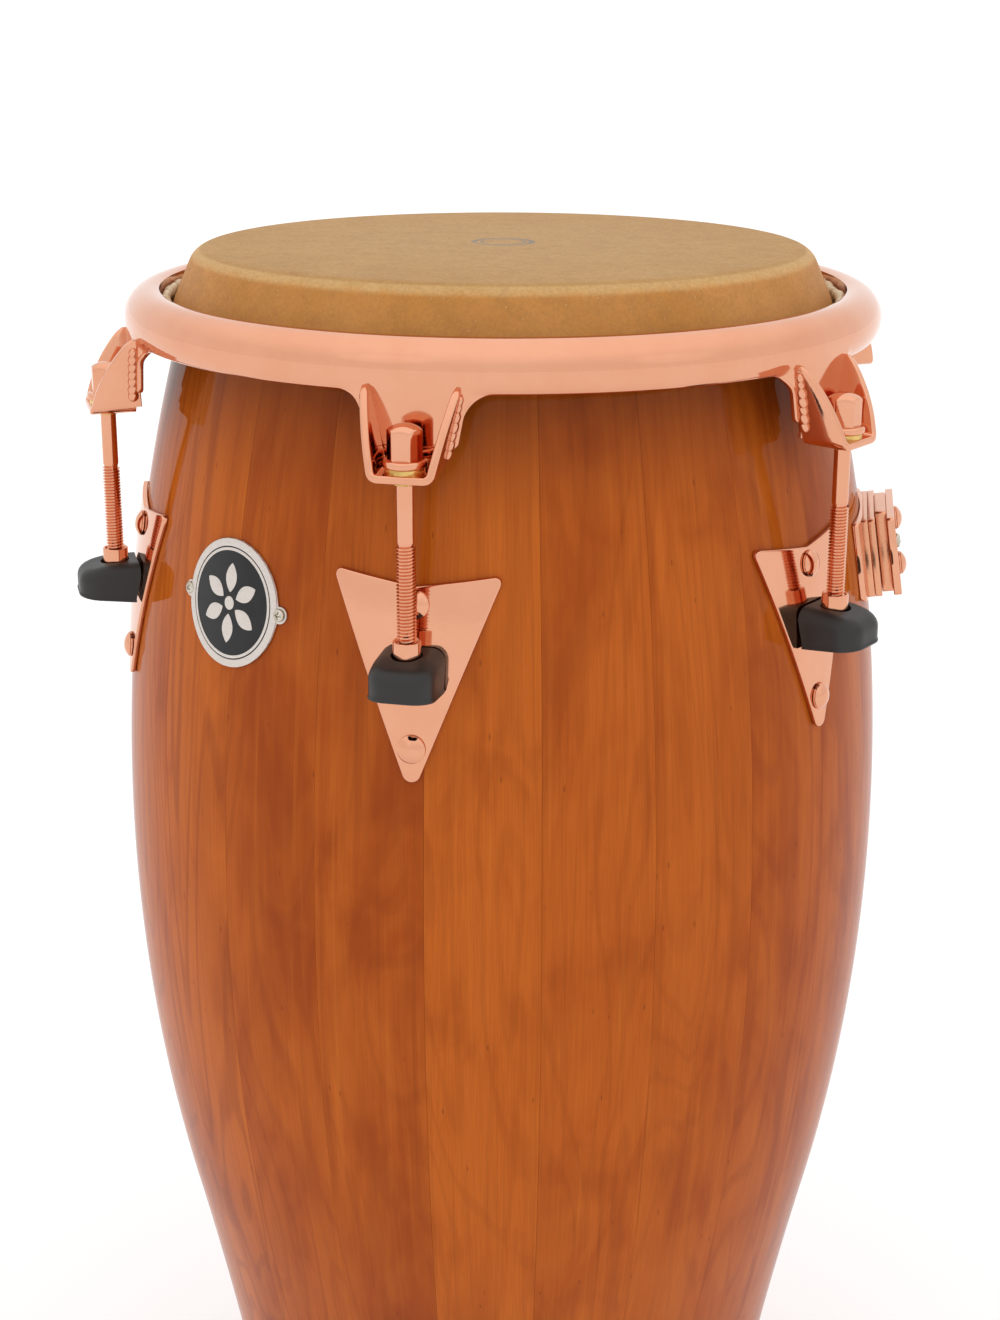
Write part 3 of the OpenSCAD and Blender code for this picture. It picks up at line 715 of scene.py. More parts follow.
def rim():
    """One rounded sheet with six tabs: a column of points for each place round it."""
    a_out, b_out, thick = 12 * MM, 13 * MM, 3 * MM
    mid_r, mid_z = RIM_R - a_out, RIM_TOP - b_out
    top_a, low_a, join_a = 112, -42, -4
    lip_low = RIM_TOP - 9.5 * MM
    edge = 0.8 * MM

    def point(angle, inset):
        a = math.radians(angle)
        return mid_r + (a_out - inset) * math.cos(a), mid_z + (b_out - inset) * math.sin(a)

    low_r, low_z = point(low_a, 0)
    join_r, join_z = point(join_a, 0)
    tab_r = RIM_R - 0.2 * MM

    def wall(z, tab):
        """Radius of the outer face below join_z: on the rim's own curve, or straight down a tab."""
        y = (z - mid_z) / b_out
        own = mid_r + a_out * math.sqrt(1 - y * y) if z > low_z else low_r
        return own + (join_r + (tab_r - join_r) * min(1.0, (join_z - z) / (8 * MM)) - own) * tab

    half = rounded([(44 * MM, low_z, 0), (22 * MM, low_z, 12 * MM), (18 * MM, TAB_LOW, 3.2 * MM),
                    (0, TAB_LOW, 0)], 9, closed=False)
    half = divided(half, 2.2 * MM)
    start = next(k for k, p in enumerate(half) if p[1] < low_z - 1e-6) - 1
    half = half[start:]
    normals = -edge_inset(half, False)
    normals[-1] = (0, 1)
    normals[0] = (0, 1)
    columns = []     # drum angle, [x, z] at the edge, normal of the edge, lean towards a tab
    free = 15
    span = math.asin(half[0][0] / low_r)
    for i in range(LUGS):
        mid = lug_angle(i)
        for side in (-1, 1):
            pick = list(zip(half, normals)) if side == -1 else list(zip(half, normals))[-2::-1]
            for (x, z), (nx, nz) in pick:
                tab = smoothstep(0, 7 * MM, low_z - z)
                columns.append((mid + side * math.asin(x / low_r), z, side * nx / low_r, nz, tab))
        for k in range(1, free):
            gap = 2 * math.pi / LUGS - 2 * span
            columns.append((mid + span + gap * k / free, low_z, 0.0, 1.0, 0.0))
    body = [(point(top_a, 0)[0], z) for z in (lip_low, (lip_low + point(top_a, 0)[1]) / 2)]
    body += [point(a, 0) for a in np.linspace(top_a, join_a, 40)]
    inside = [(point(top_a, 0)[0] + 2.5 * MM, z) for z in (lip_low, (lip_low + point(top_a - 9, thick)[1]) / 2)]
    inside += [point(a, thick) for a in np.linspace(top_a - 9, join_a, 40)]
    rows = 18
    verts = []
    for angle, z_edge, nx, nz, tab in columns:
        def put(r, z, turn=0.0):
            a = angle + turn
            verts.append((r * math.sin(a), -r * math.cos(a), z))
        for r, z in body:
            put(r, z)
        inset = edge * 1.7
        bottom = z_edge + nz * inset
        for k in range(1, rows + 1):
            t = k / rows
            z = join_z + (bottom - join_z) * t
            put(wall(z, tab), z, nx * inset * t)
        for deep, far in ROLL:
            z = z_edge + nz * edge * far
            put(wall(z, tab) - edge * deep, z, nx * edge * far)
        for deep, far in reversed(ROLL):
            z = z_edge + nz * edge * far
            put(wall(z, tab) - thick + edge * deep, z, nx * edge * far)
        for k in range(rows, 0, -1):
            t = k / rows
            z = join_z + (bottom - join_z) * t
            put(wall(z, tab) - thick, z, nx * inset * t)
        for r, z in reversed(inside):
            put(r, z)
    count = len(verts) // len(columns)
    piece("rim_sheet", (verts, grid_faces(len(columns), count, True, True)), COPPER_RIM, "crown",
          ["rim"], 50)
    return tab_r


TAB_R = rim()


# ---- hooks ----

def hook_shape():
    """Half widths of the hook's outer face from its foot to its tip."""
    foot, tip = 13 * MM, 20.5 * MM
    right = rounded([(0, HOOK_LOW, 0), (foot, HOOK_LOW, 5 * MM), (tip, HOOK_TOP, 0)], 8, closed=False)
    return divided(right, 2.5 * MM)


def hook(i):
    """A bent strip, wide where it holds the lug and drawn to a point where its arms meet the rim."""
    thick, edge = 3.3 * MM, 0.9 * MM
    reach = LUG_R + 9 * MM
    nose = 68 * MM
    a = Vector((reach, HOOK_LOW + 1 * MM))
    b = Vector((TAB_R + 1.6 * MM, HOOK_TOP))
    across = b - a
    left = Vector((-across.y, across.x)).normalized()
    mid = (a + b) / 2 + left * math.sqrt(nose ** 2 - (across.length / 2) ** 2)
    right = hook_shape()
    line = [(-x, z) for x, z in right[:0:-1]] + right
    normals = edge_inset(line, False)
    normals[0] = normals[1]
    normals[-1] = normals[-2]
    matrix = radial(lug_angle(i))
    verts = []
    for k, ((x, z), n) in enumerate(zip(line, normals)):
        back = math.sqrt(TAB_R ** 2 - x * x) - 0.3 * MM
        front = reach if z < a.y else mid.x + math.sqrt(nose ** 2 - (z - mid.y) ** 2)
        tip = min(k, len(line) - 1 - k)
        pinch = 0.7 * MM if tip == 0 else 0.0
        front -= pinch

        def put(out, depth):
            verts.append(matrix @ Vector((x + n[0] * depth, z + n[1] * depth, out)))
        put(back, pinch)
        put(back + (front - back) * 0.5, pinch)
        for deep, far in reversed(ROLL):
            put(front - edge * deep, pinch + edge * far)
        for deep, far in ROLL:
            put(front - edge * deep, thick - pinch - edge * far)
        put(back + (front - back) * 0.5, thick - pinch)
        put(back, thick - pinch)
    count = len(verts) // len(line)
    faces = grid_faces(len(line), count, False, True)
    faces += [tuple(range(count)), tuple(range(len(verts) - 1, len(verts) - 1 - count, -1))]
    # the tab's lower end shows behind the lug, down to the hook's floor
    xs = [(-13.5 + 27 * k / 12) * MM for k in range(13)]
    low, high = [(x, HOOK_LOW + 3.2 * MM) for x in xs], [(x, TAB_LOW + 3 * MM) for x in xs]

    def behind(x, y, depth):
        return matrix @ Vector((x, y, math.sqrt(TAB_R ** 2 - x * x) - depth - 0.02 * MM))
    tongue = plate(low, high, 2.9 * MM, 0.4 * MM, behind, 4)
    name = f"hook_{i + 1}"
    piece(name, joined((verts, faces), tongue), COPPER, "crown", [f"lug_hook_{i + 1}"], 50)


def weld(i):
    """Two runs of overlapping weld beads, where the arms meet their tab."""
    matrix = radial(lug_angle(i))
    right = [p for p in divided(hook_shape(), 0.25 * MM) if HOOK_LOW + 8.5 * MM < p[1] < HOOK_TOP - 4 * MM]
    ball = lathe([(math.sin(math.pi * k / 9), -math.cos(math.pi * k / 9)) for k in range(10)], 18, closed=False)
    parts = []
    for side in (-1, 1):
        draw = random.Random(20 + 2 * i + side)
        spot = 0.0
        while spot < len(right) - 1:
            (x, z), (x2, z2) = right[int(spot)], right[int(spot) + 1]
            along = Vector((side * (x2 - x), z2 - z, 0)).normalized()
            beside = Vector((along.y, -along.x, 0)) * side
            size = draw.uniform(0.90, 1.08) * (1 - 0.22 * smoothstep(HOOK_TOP - 12 * MM, HOOK_TOP - 4 * MM, z))
            lift = math.sqrt(TAB_R ** 2 - x * x) + 1.1 * MM
            basis = Matrix((beside * 1.7 * MM * size, Vector((0, 0, 2.7 * MM * size)),
                            along * 3.0 * MM * size)).transposed().to_4x4()
            basis.translation = Vector((side * x, z, lift)) + beside * 0.25 * MM
            parts.append(placed(ball, matrix @ basis))
            spot += draw.uniform(3.7, 4.2) * 4 * size
    piece(f"weld_{i + 1}", joined(*parts), COPPER_CAST, "crown", sharp=80)


def bushings():
    hook_floor = HOOK_LOW + 3 * MM
    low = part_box("hook_bushings")[0].z
    bore, lip, body, roll = 4.05 * MM, 5.2 * MM, 4.9 * MM, 0.4 * MM
    bush = rounded([(bore, low, 0), (lip, low, roll), (lip, HOOK_LOW - 0.05 * MM, 0), (body, HOOK_LOW, 0),
                    (body, hook_floor, 0), (bore, hook_floor, 0)], 4)
    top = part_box("lug_washers")[1].z
    wide = 8 * MM
    washer = rounded([(bore, hook_floor, 0), (wide, hook_floor, roll), (wide, top, roll), (bore, top, 0)], 4)
    for name, profile, node in (("brass_bushings", bush, "hook_bushings"),
                                ("brass_washers", washer, "lug_washers")):
        ring = lathe(profile, 56)
        piece(name, joined(*(placed(ring, upright(i)) for i in range(LUGS))), BRASS, "crown", [node])


# ---- lugs ----

def hex_head(low, high, flats, ball):
    """A hexagon with softened corners, its top turned to a dome."""
    corner = flats / 2 / math.cos(math.pi / 6)
    rows = [(corner * math.cos(a), corner * math.sin(a), 0.7 * MM) for a in (k * math.pi / 3 for k in range(6))]
    outline = rounded(rows, 4)
    outline = divided(outline + outline[:1], 1.5 * MM)[:-1]
    mid = high - ball
    verts = []
    levels = 5
    for x, y in outline:
        r = math.hypot(x, y)
        shoulder = mid + math.sqrt(ball ** 2 - r * r)
        for k in range(levels + 1):
            verts.append((x, y, low + (shoulder - 0.25 * MM - low) * k / levels))
        for t in (0.985, 0.93, 0.8, 0.6, 0.4, 0.2, 0.0):
            verts.append((x * t, y * t, mid + math.sqrt(ball ** 2 - (r * t) ** 2)))
    count = levels + 8
    faces = grid_faces(len(outline), count, True, False)
    faces.append(tuple(i * count for i in reversed(range(len(outline)))))
    return verts, faces


def thread(high, low, pitch, crest, root):
    """A right-handed screw thread, closed at both ends."""
    segments = 30
    shape = [0.0, 0.45, 0.98, 1.0, 0.55, 0.08]
    per_turn = len(shape)
    rows = int((high - low) / pitch * per_turn) - per_turn
    verts = []
    for j in range(rows + 1):
        r = root + (crest - root) * shape[j % per_turn]
        for k in range(segments + 1):
            a = 2 * math.pi * k / segments
            z = low + pitch * (j / per_turn + k / segments)
            verts.append((r * math.cos(a), r * math.sin(a), z))
    count = segments + 1
    faces = grid_faces(rows + 1, count)
    for j in (0, rows):
        verts.append((0, 0, verts[j * count][2] + pitch / 2))
        faces += [(j * count + k, j * count + k + 1, len(verts) - 1) for k in range(segments)]
    return verts, faces


def lug(i):
    flange_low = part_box("lug_washers")[1].z
    flange_top = flange_low + 3.1 * MM
    flange_r, shank_r, crest, root = 9 * MM, 3.5 * MM, 3.97 * MM, 3.05 * MM
    thread_top = flange_low - 32 * MM
    flange = lathe(rounded([(0, flange_low, 0), (flange_r, flange_low, 0.9 * MM),
                            (flange_r, flange_top, 1.3 * MM), (0, flange_top, 0)], 5), 64)
    shank = lathe(rounded([(0, thread_top - 2 * MM, 0), (root, thread_top - 2 * MM, 0),
                           (root, thread_top - 0.2 * MM, 0), (shank_r, thread_top + 1.2 * MM, 0.4 * MM),
                           (shank_r, flange_low, 0), (0, flange_low, 0)], 3), 40)
    point = lathe(rounded([(0, LUG_LOW, 0), (crest - 1 * MM, LUG_LOW, 0.3 * MM),
                           (root + 0.2 * MM, LUG_LOW + 1.2 * MM, 0), (root, LUG_LOW + 2.5 * MM, 0),
                           (0, LUG_LOW + 2.5 * MM, 0)], 3), 32)
    head_part = hex_head(flange_top - 0.6 * MM, LUG_TOP, 12.7 * MM, 11 * MM)
    screw = thread(thread_top, LUG_LOW + 0.8 * MM, 25.4 * MM / 18, crest, root)
    whole = placed(joined(flange, shank, point, head_part, screw), upright(i))
    piece(f"tension_lug_{i + 1}", whole, COPPER, f"lug_{i + 1}", [f"tuning_lug_{i + 1}"], 42)


def receiver(i):
    """The threaded collar that stands out of the boot, with its arm back to the plate."""
    r, bore = 5.75 * MM, 4.05 * MM
    collar = lathe(rounded([(bore, COLLAR_LOW, 0), (r, COLLAR_LOW, 0.5 * MM), (r, COLLAR_TOP, 0.6 * MM),
                            (4.9 * MM, COLLAR_TOP, 0.15 * MM), (bore, COLLAR_TOP - 1.1 * MM, 0)], 4), 48)
    half, low, high = 5.5 * MM, COLLAR_LOW + 3 * MM, COLLAR_LOW + 8 * MM
    ring = rounded([(x, z, 0.8 * MM) for x, z in ((-half, low), (half, low), (half, high), (-half, high))], 3)
    front = -4.6 * MM
    back = LUG_R - shell_r((low + high) / 2) - 2.7 * MM
    verts = [(x, y, z) for y in (-front, back) for x, z in ring]
    n = len(ring)
    faces = grid_faces(2, n, close_cols=True) + [tuple(range(n))[::-1], tuple(range(n, 2 * n))]
    piece(f"lug_collar_{i + 1}", placed(joined(collar, (verts, faces)), upright(i)), COPPER, "shell",
          [f"lug_receiver_{i + 1}"])


def boot(i):
    """A rubber cap: rings of one plan, drawn in over the top to the collar's hole and hollow underneath."""
    half, nose_r, wall = 13.75 * MM, 9 * MM, 2.6 * MM
    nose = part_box("bumper_boot_2")[1].x
    rise, fall, roll, lip = 3.8 * MM, 2 * MM, 5.5 * MM, 0.35 * MM
    matrix = radial(lug_angle(i))
    back_off = 3.8 * MM
    sides, turns = 7, 9

    def plan(inset, z):
        """Points round the plan, from the left back corner over the nose and back along the plate."""
        x, front = half - inset, nose - inset
        r = max(nose_r - inset, 3 * MM)

        def behind(across):
            return math.sqrt((shell_r(z) + back_off) ** 2 - across * across)
        left = [(-x, behind(x) + (front - r - behind(x)) * k / sides) for k in range(sides)]
        arc = [(-x + r - r * math.cos(a), front - r + r * math.sin(a))
               for a in (math.pi / 2 * k / turns for k in range(turns + 1))]
        near = left + arc + [((-x + r) * (1 - k / 5), front) for k in range(1, 5)]
        across = [x * (1 - 2 * k / 8) for k in range(1, 8)]
        return near + [(0, front)] + [(-p, q) for p, q in reversed(near)] + [(p, behind(p)) for p in across]

    def bottom(out):
        """The lower edge climbs to the nose."""
        back = shell_r(BOOT_LOW) + back_off
        return BOOT_LOW + rise * min(1.0, max(0.0, (out - back) / (nose - back)))

    def top(out):
        return BOOT_TOP - fall * smoothstep(LUG_R + 2 * MM, nose - 2 * MM, out)

    rings = []

    def add(inset, share, above=0.0, below=0.0):
        """A ring at a share of the way from the lower edge, raised by above, to the top, lowered by below."""
        ring = plan(inset, BOOT_LOW + (BOOT_TOP - BOOT_LOW) * share)
        rings.append([(x, (bottom(out) + above) * (1 - share) + (top(out) - below) * share, out)
                      for x, out in ring])

    add(wall, 0.0)
    for inset, above in ((0.5 * MM, 0.0), (0.12 * MM, 0.15 * MM), (0.0, 0.5 * MM), (0.0, 1.2 * MM),
                         (lip, 1.5 * MM)):
        add(inset, 0.0, above)
    for k in range(1, 5):
        add(lip, k / 5, 1.5 * MM, roll)
    for k in range(7):
        a = math.pi / 2 * k / 6
        add(lip + roll * (1 - math.cos(a)), 1.0, 0.0, roll * (1 - math.sin(a)))
    outline = rings[-1]
    hole, centre = 6.5 * MM, LUG_R + 0.5 * MM
    circle = []
    for x, _, out in outline:
        a = math.atan2(out - centre, x)
        circle.append((hole * math.cos(a), centre + hole * math.sin(a)))
    for t in (0.3, 0.6, 0.85, 0.97, 1.0):
        ring = []
        for (x, z, out), (cx, cy) in zip(outline, circle):
            px, py = x + (cx - x) * t, out + (cy - out) * t
            ring.append((px, top(py) - (0.3 * MM if t == 1.0 else 0), py))
        rings.append(ring)
    ceiling = BOOT_TOP - fall - wall
    rings.append([(x, ceiling, out) for x, z, out in rings[-1]])
    rings.append([(x, ceiling, out) for x, out in plan(wall, ceiling)])
    verts = [matrix @ Vector(p) for ring in rings for p in ring]
    faces = grid_faces(len(rings), len(rings[0]), True, True)
    piece(f"boot_{i + 1}", (verts, faces), RUBBER, "shell", [f"bumper_boot_{i + 1}"], 55)


# ---- side plates, bolts ----

PLATE_TOP = 0.6485                  # height of a side plate's upper corners
BOLT_ROWS = (12.8 * MM, 72 * MM)    # below them


def side_plate(i):
    half, notch, top, thick = 36 * MM, 5.3 * MM, PLATE_TOP, 2.5 * MM
    tip = top - 93 * MM
    corner_r, tip_r = 2.6 * MM, 4 * MM
    outline = rounded([(0, top - notch, 0), (half, top, corner_r), (0, tip, tip_r), (-half, top, corner_r)], 10)
    right = [p for p in outline if p[0] >= -1e-9]
    reach = max(p[0] for p in right)
    far = next(p for p in right if p[0] == reach)
    xs = sorted({round(p[0], 6) for p in right if p[0] > 1e-6} | {0.0} | {reach * k / 16 for k in range(16)})
    xs = [x for k, x in enumerate(xs) if k == 0 or x - xs[k - 1] > 0.15 * MM or x == xs[-1]]
    both = [-x for x in xs[:0:-1]] + xs
    slack = [(x, z) for x, z in right if z >= far[1]] + [(0, top - notch)]
    lower = [(x, z) for x, z in right if z <= far[1] and (x > 1e-6 or z < top - notch - 1 * MM)]
    lowest = min(z for x, z in lower)
    high = by_columns(slack, both)
    low = by_columns(lower + [(0, lowest)], both)
    part = plate(low, high, thick, 0.55 * MM, on_skin(lug_angle(i), thick), 26)
    piece(f"plate_{i + 1}", part, COPPER, "shell", [f"side_plate_{i + 1}"], 50)


def bolt_profile(head_r, seat, shaft_r=3 * MM, deep=21 * MM):
    """A round head on a thin flange, with a plain shaft through the wall."""
    rows = [(0, -deep, 0), (shaft_r - 0.6 * MM, -deep, 0.2 * MM), (shaft_r, -deep + 0.8 * MM, 0),
            (shaft_r, seat, 0), (head_r, seat, 0.15 * MM), (head_r, seat + 0.75 * MM, 0.2 * MM),
            (head_r - 0.55 * MM, seat + 0.85 * MM, 0), (head_r - 0.25 * MM, seat + 1.0 * MM, 0.1 * MM)]
    line = rounded(rows, 4, closed=False)
    rise, base = 2.3 * MM, seat + 1.1 * MM
    r = head_r - 0.2 * MM
    ball = (r * r + rise * rise) / (2 * rise)
    line += [(x, base + rise - ball + math.sqrt(ball ** 2 - x ** 2))
             for x in (r * math.cos(k * math.pi / 24) for k in range(12))]
    return line + [(0, base + rise)]


def bolts():
    frames = [on_shell(lug_angle(i), PLATE_TOP - row) for i in range(LUGS) for row in BOLT_ROWS]
    head_r, seat = 6 * MM, 2.7 * MM
    ring = lathe(bolt_profile(head_r, seat), 48, closed=False)
    whole = joined(*(placed(ring, m) for m in frames))
    piece("dome_bolts", whole, COPPER, "shell", ["plate_bolts"], 45)


# ---- badge ----

def badge():
    r, ear, reach, thick = 27.5 * MM, 3.7 * MM, BADGE_EAR, 1.6 * MM
    mapping = on_skin(BADGE_TURN, thick)

    def half_height(x):
        tall = math.sqrt(max(0.0, r * r - x * x))
        side = ear * ear - (abs(x) - reach) ** 2
        return max(tall, math.sqrt(side) if side > 0 else 0.0)

    far = reach + ear
    xs = sorted({-far * math.cos(math.pi * k / 20) for k in range(21)}
                | {s * (reach + ear * math.cos(math.pi * k / 12)) for k in range(13) for s in (-1, 1)})
    xs = [x for k, x in enumerate(xs) if k == 0 or x - xs[k - 1] > 0.05 * MM]
    low = [(x, BADGE_Z - half_height(x)) for x in xs]
    high = [(x, BADGE_Z + half_height(x)) for x in xs]
    base = plate(low, high, thick - 0.5 * MM, 0.3 * MM, on_skin(BADGE_TURN, thick - 0.5 * MM), 22)
    piece("badge_base", base, BADGE, "shell", ["badge_plate"], 50)

    def bent_ring(rows, segments=96, closed=True):
        verts, faces = lathe(rows, segments, closed)
        return [mapping(x, BADGE_Z + y, -h) for x, y, h in verts], faces

    border = rounded([(24.1 * MM, -0.55 * MM, 0), (27.4 * MM, -0.55 * MM, 0), (27.4 * MM, 0, 0.3 * MM),
                      (24.1 * MM, 0, 0.2 * MM)], 4)
    ring = rounded([(22.3 * MM, -0.55 * MM, 0), (23.6 * MM, -0.55 * MM, 0), (23.6 * MM, 0.02 * MM, 0.2 * MM),
                    (22.3 * MM, 0.02 * MM, 0.2 * MM)], 4)
    piece("badge_rings", joined(bent_ring(border), bent_ring(ring)), BADGE, "shell", sharp=50)
    field = [(0, -0.53 * MM)] + [(k * 2.42 * MM, -0.53 * MM) for k in range(1, 11)]
    field += [(k * 2.42 * MM, -0.30 * MM) for k in range(10, 0, -1)] + [(0, -0.30 * MM)]
    piece("badge_enamel", bent_ring(field, closed=False), ENAMEL, "shell", sharp=50)
    petals = []
    for k in range(6):
        turn = math.pi / 3 * k
        outline = [(math.sin(math.pi * t) ** 0.8 * 3.4 * MM * side, (4.6 + 12.6 * t) * MM)
                   for side, ts in ((-1, np.linspace(0, 1, 15)), (1, np.linspace(1, 0, 15)[1:-1])) for t in ts]
        petals.append(raised(outline, turn, mapping))
    hub = [(2.9 * MM * math.cos(a), 2.9 * MM * math.sin(a)) for a in (2 * math.pi * k / 24 for k in range(24))]
    petals.append(raised(hub, 0, mapping))
    piece("badge_rosette", joined(*petals), BADGE, "shell", sharp=50)


def raised(outline, turn, mapping):
    """A low flat-topped relief with the given outline, turned about the badge's middle."""
    points = [Matrix.Rotation(turn, 2) @ Vector(p) for p in outline]
    mid = sum(points, Vector((0, 0))) / len(points)
    rings = []
    for share, height in ((1.0, -0.40), (1.0, -0.12), (0.90, -0.02), (0.45, 0.0)):
        rings.append([mapping(*(mid + (p - mid) * share + Vector((0, BADGE_Z))), -height * MM) for p in points])
    count = len(points)
    verts = [v for ring in rings for v in ring]
    for height in (-0.40, 0.0):
        verts.append(mapping(*(mid + Vector((0, BADGE_Z))), -height * MM))
    faces = grid_faces(len(rings), count, close_cols=True)
    faces += [(k, (k + 1) % count, len(verts) - 2) for k in range(count)]
    last = (len(rings) - 1) * count
    faces += [(last + k, last + (k + 1) % count, len(verts) - 1) for k in range(count)]
    return verts, faces


def cross_screw(r, seat, shaft_r, deep, matrix):
    """A small round-headed screw with a cross cut in its head."""
    steps = 48
    verts = []
    rings = [0, 0.12, 0.24, 0.36, 0.5, 0.65, 0.8, 0.92, 1.0]
    rise = 1.7 * MM
    for k in range(steps):
        a = 2 * math.pi * k / steps
        for t in rings:
            x, y = r * t * math.cos(a), r * t * math.sin(a)
            arm = min(abs(x), abs(y))
            cut = smoothstep(0.42 * MM, 0.22 * MM, arm) * smoothstep(0.72, 0.5, t)
            verts.append((x, y, seat + rise * math.sqrt(max(0.0, 1 - 0.92 * t * t)) - 1.0 * MM * cut))
        verts.append((r * math.cos(a), r * math.sin(a), seat))
        verts.append((0, 0, seat))
    faces = grid_faces(steps, len(rings) + 2, True, False)
    shaft = lathe([(0, seat), (shaft_r, seat), (shaft_r, -deep), (0, -deep - 1 * MM)], 20, closed=False)
    return placed(joined((verts, faces), shaft), matrix)


def badge_screws():
    parts = []
    for side in (-1, 1):
        angle = BADGE_TURN + math.asin(side * BADGE_EAR / shell_r(BADGE_Z))
        parts.append(cross_screw(2.7 * MM, 1.3 * MM, 1.3 * MM, 9 * MM,
                                 on_shell(angle, BADGE_Z) @ Matrix.Rotation(0.5 + side, 4, "Z")))
    piece("cross_screws", joined(*parts), NICKEL, "shell", ["badge_screws"], 50)


# ---- stand bracket ----

BRACKET = math.radians(120)
BRACKET_Z = 0.6205


def box_outline(half_w, low, high, r):
    """Lower and upper outlines of a rectangle with rounded corners, for plate()."""
    xs = [half_w - r + r * math.sin(a) for a in (math.pi / 2 * k / 5 for k in range(6))]
    inner = [(half_w - r) * k / 8 for k in range(8)]
    pos = inner + xs
    both = [-x for x in pos[:0:-1]] + pos

    def lift(x):
        past = max(0.0, abs(x) - (half_w - r))
        return r - math.sqrt(max(0.0, r * r - past * past))
    return [(x, low + lift(x)) for x in both], [(x, high - lift(x)) for x in both]


def bracket():
    tall, thick, wide = 37.5 * MM, 3 * MM, 70 * MM
    low, high = box_outline(wide / 2, BRACKET_Z - tall / 2, BRACKET_Z + tall / 2, 2 * MM)
    piece("saddle_plate", plate(low, high, thick, 0.5 * MM, on_skin(BRACKET, thick), 14), COPPER, "shell",
          ["bracket_saddle"], 50)
    matrix = on_shell(BRACKET, BRACKET_Z)

    def slab(half_w, extra, corner, deep, edge, top):
        low, high = box_outline(half_w, -tall / 2 - extra, tall / 2 + extra, corner)
        return plate(low, high, deep, edge, flat(matrix, top), 10)

    def shell_piece(name, part, material, node, sharp=50):
        piece(name, part, material, "shell", [node], sharp)

    pad, spacer_t, cover_t, cover_half = 4 * MM, 5.2 * MM, 3.7 * MM, 28.5 * MM
    layers = [slab(cover_half, 0, 1.5 * MM, deep, 0.4 * MM, top)
              for deep, top in ((3.4 * MM, 3.7 * MM), (3.2 * MM, thick + pad))]
    shell_piece("saddle_pad", joined(*layers), COPPER_SAWN, "bracket_saddle")
    seat = thick + pad + 0.1 * MM
    spacer = slab(19 * MM, 1 * MM, 1.5 * MM, spacer_t, 0.45 * MM, seat + spacer_t)
    shell_piece("spacer_plate", spacer, COPPER_SAWN, "bracket_spacer")
    cover_top = seat + spacer_t + cover_t
    cover = slab(cover_half, 0, 1.5 * MM, cover_t, 0.5 * MM, cover_top)
    shell_piece("cover_plate", cover, COPPER, "bracket_cover")
    bolt_up, bolt_head = 11.4 * MM, 5.65 * MM
    ring = lathe(bolt_profile(bolt_head, cover_top), 48, closed=False)
    pair = [placed(ring, matrix @ Matrix.Translation((0, side * bolt_up, 0))) for side in (-1, 1)]
    shell_piece("bracket_dome_bolts", joined(*pair), COPPER, "bracket_bolts", 45)
    screw = cross_screw(3.5 * MM, cover_top, 1.5 * MM, -cover_top + 3.4 * MM, matrix)
    piece("bracket_cross_screw", screw, NICKEL, "shell", ["bracket_screw"], 50)


# ---- foot ----

def foot():
    """A steel band on the wood, over a rubber ring that cups its lower end."""
    levels = [BAND_LOW + (BAND_TOP - BAND_LOW) * k / 8 for k in range(9)]
    thick, off = 1.3 * MM, GAP
    outside = [(shell_r(z) + off + thick, z) for z in levels]
    outside[0] = (outside[0][0] - 0.3 * MM, outside[0][1])
    outside[-1] = (outside[-1][0] - 0.3 * MM, outside[-1][1])
    line = [(r, z, 0) for r, z in outside]
    line[1:1] = [(shell_r(BAND_LOW) + off + thick, BAND_LOW + 0.4 * MM, 0)]
    line[-1:-1] = [(shell_r(BAND_TOP) + off + thick, BAND_TOP - 0.4 * MM, 0)]
    line += [(shell_r(z) + off, z, 0) for z in reversed(levels)]
    piece("foot_band", lathe(rounded(line, 2), 192), COPPER, "shell", ["bottom_band"], 50)
    wall = 3.2 * MM
    inner = FOOT_R - WALL - wall
    cuff_r = shell_r(CUFF_TOP)
    ring = [(inner, 0, 1.4 * MM), (FOOT_R + wall, 0, 1.4 * MM), (FOOT_R + wall, 4 * MM, 1 * MM),
            (cuff_r + wall, CUFF_TOP, 0.9 * MM), (cuff_r + 0.1 * MM, CUFF_TOP, 0),
            (shell_r(SHELL_LOW) + 0.1 * MM, SHELL_LOW, 0),
            (shell_r(SHELL_LOW) - WALL - 0.1 * MM, SHELL_LOW, 0), (cuff_r - WALL - 0.1 * MM, CUFF_TOP, 0),
            (cuff_r - WALL - wall, CUFF_TOP, 0.9 * MM)]
    piece("rubber_foot", lathe(rounded(ring, 4), 192), FOOT_RUBBER, "shell", ["foot_ring"], 50)


def inner_fasteners():
    """The nuts and washers inside the shell keep their own shape and get a zinc finish."""
    for name in ("inner_washers", "inner_nuts", "flesh_hoop"):
        node = frame["nodes"][name]
        node.data.materials.clear()
        node.data.materials.append(ZINC)


# ---- studio ----

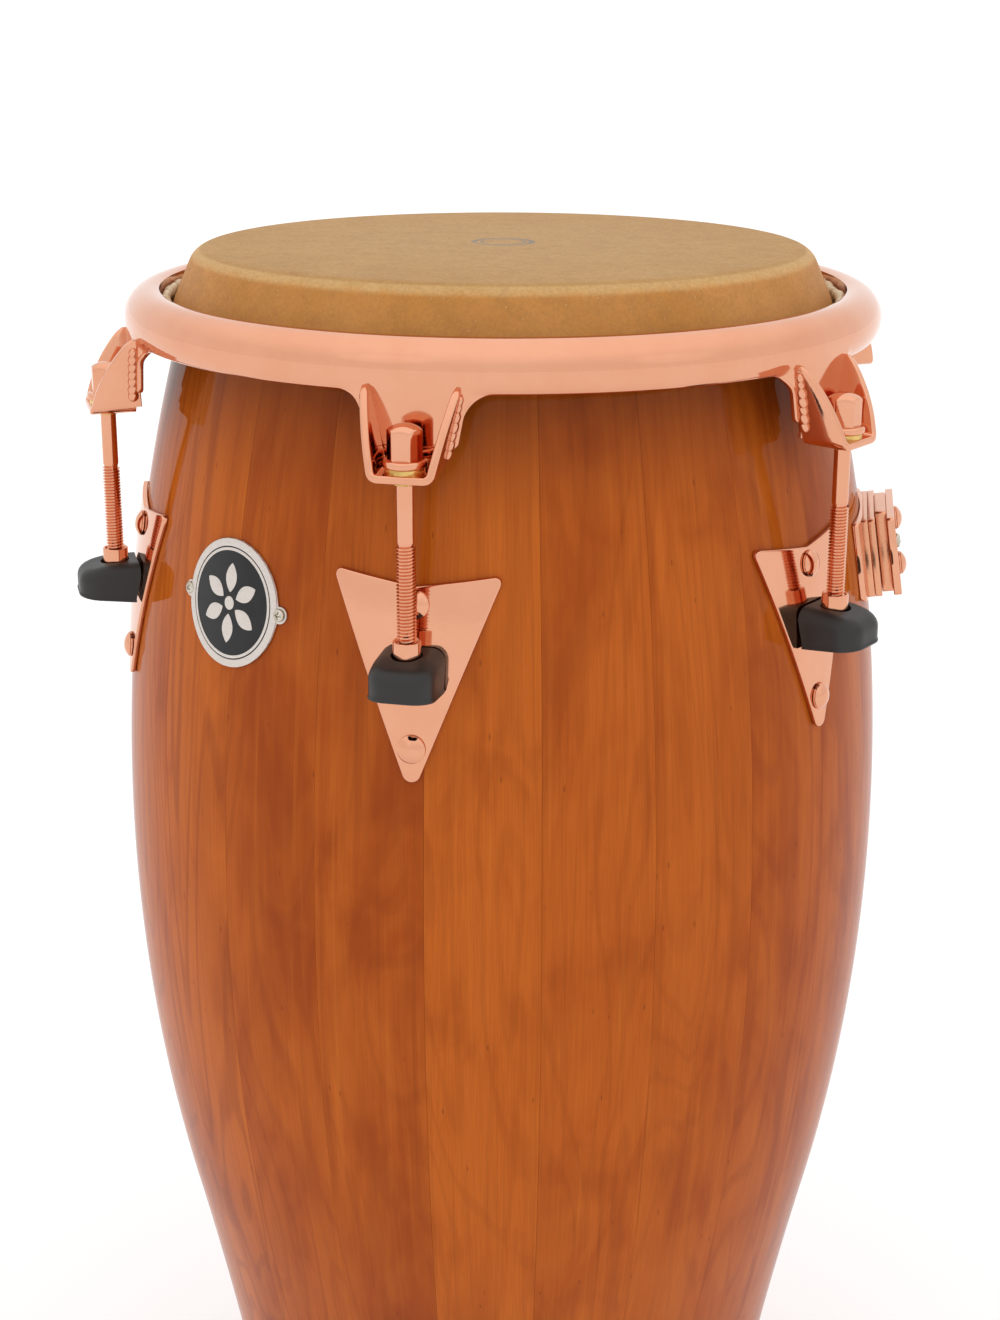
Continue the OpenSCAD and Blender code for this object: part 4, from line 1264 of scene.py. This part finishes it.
def studio():
    scene = bpy.context.scene
    scene.view_settings.view_transform = "Standard"
    floor = bpy.data.meshes.new("studio_floor")
    half = 30.0
    corners = [(-half, -half, 0), (half, -half, 0), (half, half, 0), (-half, half, 0)]
    floor.from_pydata(corners, [], [(0, 1, 2, 3)])
    ground = bpy.data.objects.new("studio_floor", floor)
    scene.collection.objects.link(ground)
    s = Surface("studio_paper", Roughness=0.9, Specular_IOR_Level=0.1)
    s.set("Base Color", s.mix(s.noise(s.place(), 1.5), (0.94, 0.94, 0.94), (0.96, 0.96, 0.96)))
    floor.materials.append(s.material)

    world = bpy.data.worlds.new("studio")
    scene.world = world
    world.use_nodes = True
    w = Nodes(world.node_tree)
    back = w.tree.nodes["Background"]
    view = w.node("TexCoord").outputs["Generated"]

    # an even bright room, brighter overhead, with two small softboxes
    def towards(x, y, z):
        aim = tuple(Vector((x, y, z)).normalized())
        return w.node("VectorMath", {0: view, 1: aim}, operation="DOT_PRODUCT").outputs["Value"]

    room = w.level(towards(0, 0, 1), 0.3, 0.95, 1.06, 1.28)
    for box in ((0.08, -0.93, 0.55), (0.96, 0.05, 0.42)):
        room = w.maths("ADD", room, w.level(towards(*box), 0.965, 0.992, 0.0, 0.10))
    w.put(back.inputs["Strength"], room)
    w.put(back.inputs["Color"], (1.0, 1.0, 1.0, 1))


def camera():
    """The camera stands at drum angle 41 degrees, a little above the head, and looks down at it."""
    azimuth, distance, height = math.radians(41.395), 0.8321, 0.8599
    pitch, pan, roll = math.radians(13.609), math.radians(-0.09), math.radians(0.113)
    data = bpy.data.cameras.new("camera")
    data.lens = 46.68
    data.sensor_width = 36.0
    data.shift_y = -0.16
    data.clip_start, data.clip_end = 0.01, 100
    obj = bpy.data.objects.new("camera", data)
    bpy.context.scene.collection.objects.link(obj)
    bpy.context.scene.camera = obj
    obj.location = (distance * math.sin(azimuth), -distance * math.cos(azimuth), height)
    turn = Euler((math.pi / 2 - pitch, 0, azimuth - pan)).to_matrix() @ Matrix.Rotation(roll, 3, "Z")
    obj.rotation_euler = turn.to_euler()


shell()
head()
hide_edge()
bushings()
for lug_index in range(LUGS):
    hook(lug_index)
    weld(lug_index)
    lug(lug_index)
    receiver(lug_index)
    boot(lug_index)
    side_plate(lug_index)
bolts()
badge()
badge_screws()
bracket()
foot()
inner_fasteners()
studio()
camera()
